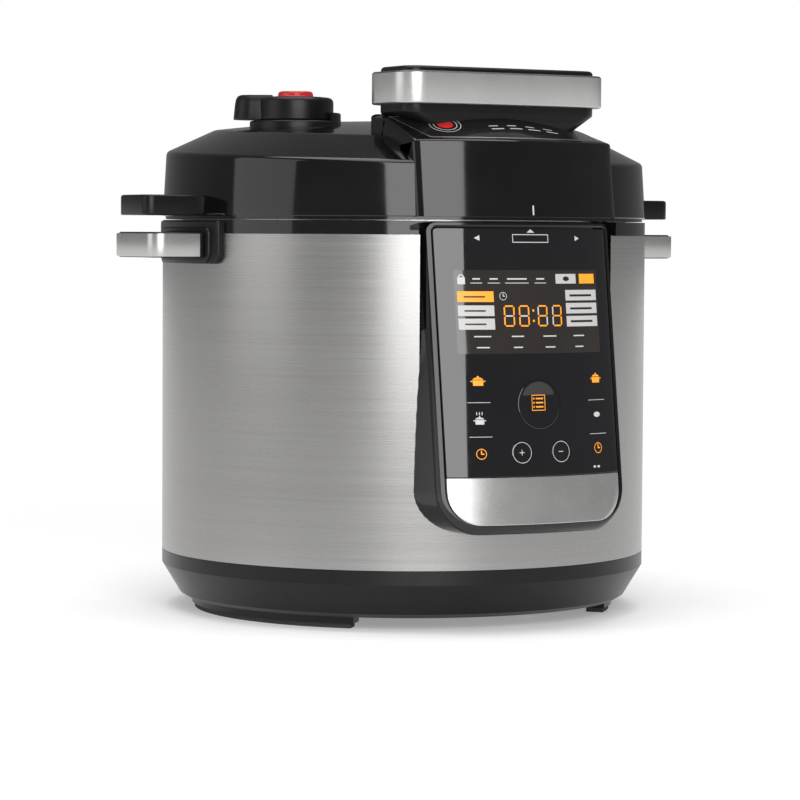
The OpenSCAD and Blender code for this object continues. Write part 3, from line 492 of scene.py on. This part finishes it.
def shield(bm, rows, radius, rims, turn=0.0, columns=28):
    """A bowed plate. Each rim moves its edge out to the side, up and down and goes back by a depth."""
    spin = Matrix.Rotation(math.radians(turn), 3, "Z")

    def put(x, z, r):
        return bm.verts.new(spin @ Vector((x, -math.sqrt(max(r * r - x * x, 1)), z)) * 0.001)

    grid = []
    for z, half in rows:
        grid.append([put(half * (2 * i / columns - 1), z, radius(z)) for i in range(columns + 1)])
    for low, high in zip(grid, grid[1:]):
        for i in range(columns):
            bm.faces.new((low[i], low[i + 1], high[i + 1], high[i]))
    edge = [(rows[0][1] * (2 * i / columns - 1), rows[0][0]) for i in range(columns + 1)]
    edge += [(half, z) for z, half in rows[1:-1]]
    edge += [(rows[-1][1] * (1 - 2 * i / columns), rows[-1][0]) for i in range(columns + 1)]
    edge += [(-half, z) for z, half in rows[-2:0:-1]]
    ring = grid[0] + [row[-1] for row in grid[1:-1]] + grid[-1][::-1] + [row[0] for row in grid[-2:0:-1]]
    count = len(edge)
    for sideways, up, down, depth in rims:
        fresh = []
        for i, (x, z) in enumerate(edge):
            way = Vector(edge[(i + 1) % count]) - Vector(edge[i - 1])
            out = Vector((way.y, -way.x)).normalized()
            out_z = out.y * (up if out.y > 0 else down)
            r = 139.0 if depth is None else radius(z) - depth
            fresh.append(put(x + out.x * sideways, z + out_z, r))
        for i in range(count):
            j = (i + 1) % count
            bm.faces.new((ring[i], fresh[i], fresh[j], ring[j]))
        ring = fresh


bm = bmesh.new()
rims = [(0.0, 0.0, 0.0, 0.25), (0.15, 0.15, 0, 0.05), (0.4, 0.4, 0, 0.0), (2.3, 2.2, 0, 0.0)]
for k in range(1, 7):
    a = math.radians(15 * k)
    rims.append(
        (
            2.3 + 0.7 * math.sin(a) + 0.5 * k / 6, 2.2 + 0.5 * math.sin(a), 5.6 * math.sin(a),
            0.7 * (1 - math.cos(a)) + (4.9 * (1 - math.cos(a)) if k > 1 else 0)
        )
    )
rims.append((10.8, 2.7, 5.6, None))
shield(
    bm, shield_rows(57.2, 61.6, 226.8, 19, 2.6), lambda z: face_r(z) - 3.9,
    [(s, u, d, None if b is None else b - 3.9) for s, u, d, b in rims]
)
piece("panel_shell", bm, "cooker_body", "gloss_black", "panel_housing")


# Silver trim. A satin metal-look strip across the foot of the panel, left bare.
finishes["silver_band"] = finish(
    "silver_band", {"Metallic": 0.85},
    moulded((0.47, 0.47, 0.46), (0.54, 0.54, 0.53), 0.24, 0.32, 5200, 0.06)
)
bm = bmesh.new()
edge_rims = [(0.2, 0.2, 0.2, 0.06), (0.35, 0.35, 0.35, 0.25), (0.35, 0.35, 0.35, 1.6)]
shield(bm, shield_rows(56.2, 62.0, 87.6, 17.6, 0.3), lambda z: face_r(z) - 0.1, edge_rims)
piece("trim_strip", bm, "cooker_body", "silver_band", "panel_trim")


# Panel glass. Gloss black glass-look sheet with three holes for the keys.
def glassy(t):
    at = t.place()
    cloud = t.noise(at, 16, 3)
    smear = t.noise(t.stretch(at, (30, 30, 120)), 1, 4)
    return {
        "Base Color": t.mix(cloud, (0.005, 0.005, 0.006), (0.009, 0.009, 0.01)),
        "Roughness": t.fit(smear, 0.35, 0.75, 0.03, 0.07),
    }


gloss_sheet = finish("panel_sheet", {"Coat Weight": 0.3, "Coat Roughness": 0.03}, glassy)
bm = bmesh.new()
shield(bm, shield_rows(56.2, 88.6, 225.7, 0.3, 1.6), lambda z: face_r(z) - 0.1, edge_rims, columns=40)
glass = piece("panel_sheet", bm, "cooker_body", "gloss_black", "panel_glass", material=gloss_sheet)
keys = [
    ("menu_key", 0.0, 128.0, 13.75), ("hours_key", -12.8, 101.6, 6.25), ("minutes_key", 12.8, 101.6, 6.25)
]
bm = bmesh.new()
for key_name, key_x, key_z, key_r in keys:
    spot = Vector((key_x, -math.sqrt(face_r(key_z) ** 2 - key_x ** 2), key_z)) * 0.001
    facing = Vector((0, -0.99317, 0.11667)).to_track_quat("Z", "Y").to_matrix().to_4x4()
    bmesh.ops.create_cone(
        bm, cap_ends=True, segments=64, radius1=(key_r + 0.25) * 0.001, radius2=(key_r + 0.25) * 0.001,
        depth=0.006, matrix=Matrix.Translation(spot) @ facing
    )
bore(glass, bm)


# Keys. The round menu key is hollowed for a fingertip, the two small ones are
# nearly level with the sheet. Each has its own spring switch behind.
def on_face(x, z, height):
    r = face_r(z) - 0.1 + height
    return (x, -math.sqrt(r * r - x * x), z)


def key_height(reach, deep):
    return lambda far: -deep * (1 - min(far / reach, 1) ** 2)


for key_name, key_x, key_z, key_r in keys:
    deep = 1.5 if key_name == "menu_key" else 0.25
    dish = key_height(key_r - 0.7, deep)
    steps = [(0.4 + (key_r - 1.1) * k / 8, dish(0.4 + (key_r - 1.1) * k / 8) + 0.15) for k in range(9)]
    steps += [(key_r - 0.35, 0.12), (key_r - 0.1, 0.0), (key_r, -0.25), (key_r, -1.9)]
    bm = bmesh.new()
    rings = []
    for far, height in steps:
        ring = []
        for k in range(72):
            a = math.tau * k / 72
            slide = min(height, 0) * 0.117 if far > key_r - 0.2 else 0
            x, y, z = on_face(key_x + far * math.cos(a), key_z + far * math.sin(a), height)
            ring.append((x, y, z + slide))
        rings.append(ring)
    loft(bm, rings)
    piece(key_name + "_cap", bm, key_name, "gloss_black", key_name, material=gloss_sheet)


# Print on the panel. Symbols, bars and plain numbers in white, grey and orange
# on the sheet, with the display window in a slightly browner black.
def bar(a, b, c, d):
    return [[(a, b), (c, b), (c, d), (a, d)]]


def disc(u, v, r, count=20):
    return [
        [
            (u + r * math.cos(math.tau * k / count), v + r * math.sin(math.tau * k / count))
            for k in range(count)
        ]
    ]


def ring_of(u, v, outer, inner, start=0, stop=360, count=24):
    out = []
    for k in range(count):
        a = math.radians(start + (stop - start) * k / count)
        b = math.radians(start + (stop - start) * (k + 1) / count)
        out.append(
            [
                (u + r * math.cos(t), v + r * math.sin(t))
                for r, t in ((inner, a), (outer, a), (outer, b), (inner, b))
            ]
        )
    return out


def frame_of(a, b, c, d, thick):
    return (
        bar(a, b, c, b + thick) + bar(a, d - thick, c, d) + bar(a, b + thick, a + thick, d - thick)
        + bar(c - thick, b + thick, c, d - thick)
    )


def pot(u, v, s):
    """A pot with its lid, knob and two ears."""
    body = [
        [
            (u - 3 * s, v - 2.4 * s), (u + 3 * s, v - 2.4 * s), (u + 3.2 * s, v + 0.8 * s),
            (u - 3.2 * s, v + 0.8 * s)
        ]
    ]
    lid = [
        [
            (u - 3.4 * s, v + 1.2 * s), (u + 3.4 * s, v + 1.2 * s), (u + 1.6 * s, v + 2.3 * s),
            (u - 1.6 * s, v + 2.3 * s)
        ]
    ]
    return (
        body + lid + disc(u, v + 2.8 * s, 0.6 * s, 10)
        + bar(u - 4.4 * s, v - 0.2 * s, u - 3.4 * s, v + 0.5 * s)
        + bar(u + 3.4 * s, v - 0.2 * s, u + 4.4 * s, v + 0.5 * s)
    )


def clock(u, v, s):
    return (
        ring_of(u, v, 3 * s, 2.6 * s) + bar(u - 0.3 * s, v - 0.2 * s, u + 0.3 * s, v + 2 * s)
        + bar(u - 0.3 * s, v - 0.3 * s, u + 1.6 * s, v + 0.3 * s)
    )


def leaf(u, v, s):
    out = []
    for k in range(10):
        a = -1 + 2 * k / 10
        b = -1 + 2 * (k + 1) / 10
        out.append(
            [
                (u + 3 * s * a, v - 1.5 * s * (1 - a * a)), (u + 3 * s * b, v - 1.5 * s * (1 - b * b)),
                (u + 3 * s * b, v + 1.5 * s * (1 - b * b)), (u + 3 * s * a, v + 1.5 * s * (1 - a * a))
            ]
        )
    return out[1:-1]


def steam(u, v, s):
    return (
        pot(u, v - 1.2 * s, 0.85 * s)
        + [
            bar(u + d * s - 0.25 * s, v + 2.2 * s, u + d * s + 0.25 * s, v + 4 * s)[0]
            for d in (-1.6, 0, 1.6)
        ]
    )


def printed(name, shapes, place, body, material, fine=2.5):
    """Thin print laid on a surface: place takes flat coordinates onto it."""
    bm = bmesh.new()
    for shape in shapes:
        bm.faces.new([bm.verts.new((u, v, 0)) for u, v in shape])
    low = min(u for shape in shapes for u, v in shape)
    high = max(u for shape in shapes for u, v in shape)
    cut_at = math.ceil(low / fine) * fine
    while cut_at < high:
        geometry = bm.verts[:] + bm.edges[:] + bm.faces[:]
        bmesh.ops.bisect_plane(bm, geom=geometry, plane_co=(cut_at, 0, 0), plane_no=(1, 0, 0))
        cut_at += fine
    for vert in bm.verts:
        vert.co = Vector(place(vert.co.x, vert.co.y)) * 0.001
    return piece(name, bm, body, None, material=material)


def ink(name, colour, painted_glow):
    """Screen print with a painted glow: an emission that makes it brighter than its lighting."""
    def look(t):
        at = t.place()
        grain = t.noise(at, 1800, 2)
        shade = tuple(0.86 * part for part in colour)
        return {"Base Color": t.mix(grain, shade, colour), "Roughness": t.fit(grain, 0.3, 0.7, 0.28, 0.4)}
    return finish(name, {"Emission Color": colour, "Emission Strength": painted_glow}, look)


# The last number of each ink is its painted glow, an emission that brightens the print.
white_ink = ink("white_ink", (0.55, 0.55, 0.55), 0.1)
grey_ink = ink("grey_ink", (0.5, 0.49, 0.48), 0.12)
orange_ink = ink("orange_ink", (0.9, 0.31, 0.02), 0.42)
window_ink = ink("window_ink", (0.013, 0.009, 0.008), 0.0)
smooth_window = finish(
    "display_window", {"Coat Weight": 0.5, "Coat Roughness": 0.03},
    moulded((0.02, 0.016, 0.013), (0.026, 0.021, 0.018), 0.05, 0.09, 600, 0.01)
)


def on_sheet(x, z):
    return on_face(x, z, 0.08)


printed(
    "display_window", bar(-47, 156.5, 47, 202.9), lambda x, z: on_face(x, z, 0.04), "cooker_body",
    smooth_window, 1.2
)
segments = {
    "top": (0.9, 11.0, 5.7, 11.8), "middle": (0.9, 5.5, 5.7, 6.3), "low": (0.9, 0.0, 5.7, 0.8),
    "left_top": (0.0, 6.4, 0.85, 10.9), "left_low": (0.0, 0.9, 0.85, 5.4),
    "right_top": (5.75, 6.4, 6.6, 10.9), "right_low": (5.75, 0.9, 6.6, 5.4),
}
lit = {
    "0": ("top", "low", "left_top", "left_low", "right_top", "right_low"),
    "2": ("top", "middle", "low", "left_low", "right_top"),
    "3": ("top", "middle", "low", "right_top", "right_low"),
}
orange = disc(-0.8, 174.6, 0.7, 10) + disc(-0.8, 180.4, 0.7, 10)
pale = []
for digit, start in zip("0023", (-19.4, -10.1, 2.0, 11.9)):
    for key, (a, b, c, d) in segments.items():
        drawn_bar = bar(start + a, 171.5 + b, start + c, 171.5 + d)
        if key in lit[digit]:
            orange += drawn_bar
        else:
            pale += drawn_bar
orange += (
    bar(-45.5, 185.2, -25, 191.1) + bar(33, 195.3, 45, 200.7) + pot(-36.6, 141.2, 0.95)
    + pot(41.8, 141.6, 0.95)
)
orange += clock(-36.8, 101.2, 1.0) + clock(40.8, 102.6, 1.0)
pale += [[(-2.6, 223.8), (2.6, 223.8), (0, 226.6 - 0.9)]] + frame_of(-11.8, 218.2, 11.8, 222.9, 0.45)
pale += [[(-34.6, 220.7), (-31.4, 219.2), (-31.4, 222.2)], [(34.6, 220.7), (31.4, 222.2), (31.4, 219.2)]]
pale += bar(-45, 195, -40.8, 198.8) + ring_of(-42.9, 198.8, 1.7, 1.1, 0, 180, 12)
for a, b in ((-37.8, -31.2), (-28, -20.8), (-17.6, -2.8), (1, 8.8)):
    pale += bar(a, 195.5, b, 195.9) + bar(a + 1.2, 197.6, b - 1.2, 198.4)
pale += (
    clock(-19.3, 188.4, 0.75) + steam(-36.8, 120.6, 0.95) + leaf(41.2, 121.4, 1.0)
    + leaf(40.4, 92.2, 0.45) + bar(36.4, 91.6, 38.2, 92.8)
)
for x in (-36.6, 41.5):
    for z in (129.6, 110.6):
        pale += bar(x - 6.5, z - 0.15, x + 6.5, z + 0.15)
for column, x in enumerate((-32.5, -11.5, 9.5, 30.5)):
    wide = (8.2, 6.4, 7.4, 6.8)[column]
    pale += (
        bar(x - wide * 0.6, 165.7, x + wide * 0.6, 166.4)
        + bar(x - wide * 0.45, 159.6, x + wide * 0.45, 160.3)
    )
chips = bar(-45.5, 177.4, -25, 183.3) + bar(-45.5, 169.9, -25, 176) + bar(15.5, 195.3, 30.4, 200.7)
chips += bar(22, 185.8, 46, 191.7) + bar(22, 178.5, 46, 184.4) + bar(22, 171.2, 46, 177.1)
printed("print_orange", orange, on_sheet, "cooker_body", orange_ink)
printed("print_white", pale, on_sheet, "cooker_body", white_ink)
printed("print_grey", chips, on_sheet, "cooker_body", grey_ink)
marks = []
for z in (173, 180.4, 188.2):
    marks += bar(-42, z - 0.6, -30, z + 0.3)
for z in (174.2, 181.4, 188.7):
    marks += bar(25, z - 0.7, 42, z + 0.5)
printed(
    "print_chip_marks", marks + leaf(23, 198, 0.9), lambda x, z: on_face(x, z, 0.12), "cooker_body",
    window_ink
)


def on_key(middle_x, middle_z, reach, deep):
    dish = key_height(reach - 0.7, deep)
    return lambda x, z: on_face(x, z, dish(math.hypot(x - middle_x, z - middle_z)) + 0.3)


rows_icon = frame_of(-4.4, 124.6, 4.4, 133.4, 0.4)
for k in (-1, 0, 1):
    rows_icon += (
        bar(-1.6, 129 + 2.3 * k - 0.4, 3.2, 129 + 2.3 * k + 0.4) + disc(-2.9, 129 + 2.3 * k, 0.5, 10)
    )
printed("menu_key_print", rows_icon, on_key(0, 128, 13.75, 1.5), "menu_key", orange_ink)
printed(
    "hours_key_print",
    ring_of(-12.8, 101.6, 5.9, 5.6) + bar(-14.3, 101.4, -11.3, 101.8) + bar(-13.0, 100.1, -12.6, 103.1),
    on_key(-12.8, 101.6, 6.25, 0.25), "hours_key", white_ink
)
printed(
    "minutes_key_print", ring_of(12.8, 101.6, 5.9, 5.6) + bar(11.3, 101.4, 14.3, 101.8),
    on_key(12.8, 101.6, 6.25, 0.25), "minutes_key", white_ink
)


# Side grips. Each is a black block on a stepped mounting pad, with a satin
# silver band wrapped round its front, its end and its rear.
def grip_outline(low_x, high_x, half_y, corner):
    return rounded(
        [(low_x, -half_y, 0), (high_x, -half_y, corner), (high_x, half_y, corner), (low_x, half_y, 0)], 10
    )


def inset(points, amount):
    """A closed outline, drawn anticlockwise, moved inwards."""
    out = []
    for i, point in enumerate(points):
        way = Vector(points[(i + 1) % len(points)]) - Vector(points[i - 1])
        inwards = Vector((-way.y, way.x)).normalized()
        out.append((point[0] + inwards.x * amount, point[1] + inwards.y * amount))
    return out


def block(bm, outline, steps, flip=1):
    """An outline stacked up in (inset, height) steps and closed at both ends."""
    rings = []
    for amount, z in steps:
        rings.append([(x * flip, y * flip, z) for x, y in inset(outline, amount)])
    loft(bm, rings)


def soft_steps(low, high, low_r, high_r, count=5):
    """Steps of a block with rounded lower and upper edges."""
    steps = []
    for k in range(count + 1):
        a = math.radians(90 * k / count)
        steps.append((low_r * (1 - math.sin(a)), low + low_r * (1 - math.cos(a))))
    for k in range(count + 1):
        a = math.radians(90 * k / count)
        steps.append((high_r * (1 - math.cos(a)), high - high_r + high_r * math.sin(a)))
    return steps


for hand, flip in (("left", -1), ("right", 1)):
    bm = bmesh.new()
    pad_rows = shield_rows(37.4, 205.5, 228.9, 5.4, 1.2)
    pad_rims = [(0.3, 0.3, 0.3, 0.1), (0.5, 0.5, 0.5, 0.4), (0.6, 0.6, 0.6, 0.9), (0.6, 0.6, 0.6, 3.8)]
    shield(bm, pad_rows, lambda z: 147.6, pad_rims, 90 * flip)
    shield(
        bm, shield_rows(31.0, 206.6, 225.2, 4.5, 3.0), lambda z: 148.9,
        [(0.3, 0.3, 0.3, 0.1), (0.5, 0.5, 0.5, 0.5), (0.5, 0.5, 0.5, 1.5)], 90 * flip
    )
    piece("grip_pad_" + hand, bm, "cooker_body", "black_plastic", "handle_bracket_" + hand)
    bm = bmesh.new()
    block(bm, grip_outline(145, 177.7, 26.2, 7.8), soft_steps(208.4, 223.0, 1.0, 1.4), flip)
    piece("grip_core_" + hand, bm, "cooker_body", "black_plastic", "handle_core_" + hand)
    bm = bmesh.new()
    path = rounded([(148.8, -27.5, 0), (179, -27.5, 9), (179, 27.5, 9), (148.8, 27.5, 0)], 12)
    section = [
        (0.5, 209.0), (0.1, 209.2), (0.0, 209.6), (0.0, 221.6), (0.1, 222.0), (0.5, 222.2), (1.5, 222.2),
        (1.5, 209.0)
    ]
    rings = []
    for i, point in enumerate(path):
        way = Vector(path[min(i + 1, len(path) - 1)]) - Vector(path[max(i - 1, 0)])
        inwards = Vector((-way.y, way.x)).normalized()
        rings.append(
            [
                ((point[0] + inwards.x * d) * flip, (point[1] + inwards.y * d) * flip, z)
                for d, z in section
            ]
        )
    loft(bm, rings)
    piece("grip_band_" + hand, bm, "cooker_body", "silver_band", "handle_band_" + hand)
    bm = bmesh.new()
    block(bm, grip_outline(138, 179, 19.2, 6), soft_steps(232.5, 244.2, 0.8, 1.6), flip)
    piece("lid_ear_cap_" + hand, bm, "lid", "black_plastic", "lid_ear_" + hand)


# Lid cover. A gloss black moulding over the steel lid: an upright band, a
# sloping shoulder and a low dome, sitting slightly higher at the back.
bm = bmesh.new()
outer = [(143.9, 232.9, 0), (143.9, 234, 0), (141.9, 268, 3.5), (113, 281.8, 9)]
crown = [(100, 283.45), (80, 285.75), (60, 287.48), (40, 288.71), (20, 289.45), (6, 289.68), (0, 289.7)]
skin_out = rounded([(143.6, 232.4, 0)] + outer + [(100, 283.45, 0)], 8, False) + crown[1:]
skin_in = [
    (0, 287.4), (40, 286.4), (80, 283.4), (112, 279.3), (139.6, 265.8), (141.0, 234), (141.0, 230.6),
    (142.3, 230.6), (142.3, 232.4)
]
turned(bm, skin_out + skin_in, steps=160)
for vert in bm.verts:
    weight = min(max((vert.co.z - 0.2323) / 0.0357, 0), 1)
    vert.co.z += math.tan(math.radians(2.3)) * vert.co.y * weight
piece("lid_dome", bm, "lid", "gloss_black", "lid_cover")


# Hub. The raised front of the lid: its bowed face lines up with the panel,
# and its sloping top carries a printed plate under the front handle.
def hub_drop(x, y):
    """How far the sloping top falls away towards the right and the back."""
    back = min(max((141 - math.hypot(x, y)) / 27, 0), 1)
    return back * (0.044 * x + 0.00085 * x * x if x > 0 else 0)


profile = rounded(
    [(146.8, 232.5, 0), (141.9, 274.9, 1.8), (113.5, 288.9, 7), (84, 290.6, 1.6), (82.5, 282, 0)], 6,
    False
)
dense = []
for i, (a, b) in enumerate(zip(profile, profile[1:])):
    parts = max(1, int(math.dist(a, b) / 5))
    for k in range(parts):
        dense.append((a[0] + (b[0] - a[0]) * k / parts, a[1] + (b[1] - a[1]) * k / parts))
dense.append(profile[-1])
columns = [(-65.4, 14), (-65.4, 2.6), (-65.2, 1.6), (-64.4, 0.8), (-63, 0.3), (-61.5, 0.08)]
columns += [(-60 + 120 * k / 32, 0.0) for k in range(33)]
columns += [(-x, drop) for x, drop in columns[5::-1]]
bm = bmesh.new()
rings = []
for i, (r, z) in enumerate(dense):
    way = Vector(dense[min(i + 1, len(dense) - 1)]) - Vector(dense[max(i - 1, 0)])
    inwards = Vector((-way.y, way.x)).normalized()
    if inwards.x > 0 and i < len(dense) - 8:
        inwards = -inwards
    if inwards.y > 0:
        inwards = Vector((-1, 0))
    ring = []
    for x, drop in columns:
        rr = r + inwards.x * drop
        zz = z + inwards.y * drop
        y = min(-math.sqrt(max(rr * rr - x * x, 1)), -76.8)
        ring.append((x, y, zz - hub_drop(x, y)))
    rings.append(ring)
loft(bm, rings, False, False)
piece("hub_cowl", bm, "lid", "gloss_black", "hub_housing")


# Hub plate. A thin printed lens on the hub's slope with a silver outline, a
# red dot in rings at the left and small grey marks at the right.
def on_hub(height):
    def place(x, y):
        r = math.hypot(x, y)
        z = 274.9 + (141.9 - r) * 14.0 / 28.4
        return (x, y, z - hub_drop(x, y) + height)
    return place


def lens(edge):
    """Quads of the plate's outline area, moved in from its edge."""
    out = []
    for k in range(44):
        pair = []
        for x in (-66 + 132 * k / 44, -66 + 132 * (k + 1) / 44):
            reach = 64.5 - edge
            x = x * reach / 66
            front = -math.sqrt(139.2 ** 2 - x * x) + edge
            back = -math.sqrt(114.2 ** 2 - x * x) - edge
            if abs(x) > 56:
                slide = min((abs(x) - 56) / (reach - 56), 1)
                front = front * (1 - slide) + back * slide
            pair.append((x, front, back))
        (a, fa, ba), (b, fb, bb) = pair
        out.append([(a, fa), (b, fb), (b, bb), (a, ba)])
    return out


plate_look = finish(
    "hub_plate_print", {"Coat Weight": 0.3},
    moulded((0.009, 0.009, 0.01), (0.013, 0.013, 0.014), 0.1, 0.16, 700, 0.02)
)
plate = printed("hub_plate_edge", lens(0), on_hub(0.12), "lid", finishes["silver_band"])
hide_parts("hub_plate")
printed("hub_plate_sheet", lens(1.1), on_hub(0.2), "lid", plate_look)
printed(
    "hub_red_dot", disc(-40.4, -117, 4.6, 24), on_hub(0.3), "lid", ink("red_ink", (0.6, 0.02, 0.02), 0.1)
)
printed(
    "hub_rings", ring_of(-40.4, -117, 7.0, 6.5) + ring_of(-40.4, -117, 9.2, 8.8), on_hub(0.28), "lid",
    grey_ink
)
grey_marks = []
for k in range(4):
    grey_marks += (
        bar(-16 + 12 * k, -128, -8 + 12 * k, -127) + bar(-16 + 12 * k, -124.5, -10 + 12 * k, -123.6)
    )
printed("hub_marks", grey_marks, on_hub(0.28), "lid", grey_ink)


def on_hub_face(x, z):
    r = 146.8 - (z - 232.5) * 4.9 / 42.4 + 0.08
    return (x, -math.sqrt(r * r - x * x), z)


printed("hub_index", bar(-0.5, 233.6, 0.5, 238.9), on_hub_face, "lid", white_ink)


# Top handle. A black foot with bevelled ends, a satin silver band round it and
# a black cap set into the band, all screwed down through the lid.
handle_length = 136.5
handle_depth = 48.5
handle_corner = 14.7
handle_y = -96
step_in = 5


def slab(length, depth, corner):
    l = length / 2
    d = depth / 2
    near = handle_y - d
    far = handle_y + d
    return rounded([(-l, near, corner), (l, near, corner), (l, far, corner), (-l, far, corner)], 10)


hoop_outline = slab(handle_length, handle_depth, handle_corner)
inner_size = (handle_length - 2 * step_in, handle_depth - 2 * step_in, handle_corner - step_in)


bm = bmesh.new()
rings = []
for z, length, depth in (
    (281.5, 99, 36.5), (283.3, 103, 38.5), (287, 114.4, 38.5), (290.6, 125.6, 38.5), (291.2, 126.5, 38.5),
    (295.7, 126.5, 38.5)
):
    rings.append([(x, y, z) for x, y in slab(length, depth, handle_corner - step_in)])
loft(bm, rings)
piece("handle_foot", bm, "lid", "black_plastic", "handle_base")
bm = bmesh.new()
block(bm, hoop_outline, [(5.5, 295.5), (0.9, 295.5), (0.35, 295.7), (0.1, 296.0), (0, 296.5), (0, 312.8)])
piece("handle_hoop", bm, "lid", "silver_band", "handle_band")
bm = bmesh.new()
block(bm, hoop_outline, [(0.02, 312.7), (0.05, 312.9), (0.9, 313.8), (6, 313.8)])
piece(
    "handle_hoop_edge", bm, "lid", "black_plastic",
    material=finish(
        "dark_edge", {"Metallic": 0.6}, moulded((0.07, 0.07, 0.068), (0.1, 0.1, 0.098), 0.35, 0.45)
    )
)
bm = bmesh.new()
block(bm, slab(*inner_size), [(0.0, 313.0)] + soft_steps(313.2, 316.8, 0.1, 2.2, 7)[8:])
piece("handle_lid", bm, "lid", "black_plastic", "handle_cap")


# Steam valve. A collar with a raised guard round half of it, a turning cap
# with a flared lever, and the red release button in the middle.
valve = (-68.26, 10.08)
bm = bmesh.new()
collar = rounded(
    [(19, 276, 0), (27, 276, 0), (27, 288.6, 1.2), (24.4, 288.6, 0.6), (24.4, 286, 0), (19, 286, 0)], 5
)
turned(bm, collar, steps=96, middle=valve)
guard = rounded([(23.9, 286, 0), (26.9, 286, 0), (26.7, 293.5, 1.0), (23.9, 293.5, 1.0)], 5)
turned(bm, guard, -60, 90, 60, middle=valve)
piece("valve_ring", bm, "lid", "black_plastic", "valve_collar")
bm = bmesh.new()
cap = [(12.6, 299.6), (12.6, 301.4), (13.4, 302.2), (16.5, 302.8)]
cap += rounded([(16.5, 302.86, 0), (22.4, 302.2, 3.2), (22.4, 289.0, 0.8), (13, 289.0, 0)], 7, False)[1:]
turned(bm, cap + [(13, 299.6)], steps=96, middle=valve)
lever_way = math.radians(150.4)
lever_rings = []
for out, z in (
    (0.9, 289.3), (1.0, 290), (0.6, 294), (0.1, 299), (-0.5, 301.6), (-1.6, 303.2), (-3.2, 303.85)
):
    half = 9.6 + out
    shape = [(13.6, -half), (26 + out, -half)]
    shape += [
        (26 + half * math.cos(a), half * math.sin(a))
        for a in [math.radians(-80 + 16 * k) for k in range(11)]
    ]
    shape += [(26 + out, half), (13.6, half)]
    ring = []
    for u, v in shape:
        ring.append(
            (
                valve[0] + u * math.cos(lever_way) - v * math.sin(lever_way),
                valve[1] + u * math.sin(lever_way) + v * math.cos(lever_way), z
            )
        )
    lever_rings.append(ring)
loft(bm, lever_rings)
piece("valve_handle", bm, "valve_knob", "black_plastic", "valve_knob")
finishes["red_plastic"] = finish(
    "red_plastic", {}, moulded((0.42, 0.012, 0.016), (0.5, 0.02, 0.022), 0.14, 0.24, 900, 0.05)
)
bm = bmesh.new()
button = rounded(
    [
        (0, 306.46, 0), (9.9, 306.1, 1.6), (10.6, 303.2, 0.4), (12, 302.9, 0.3), (12, 300.7, 0),
        (0, 300.7, 0)
    ],
    6, False
)
turned(bm, button, steps=72, shut=False, middle=valve)
piece("release_cap", bm, "release_button", "red_plastic", "release_button")
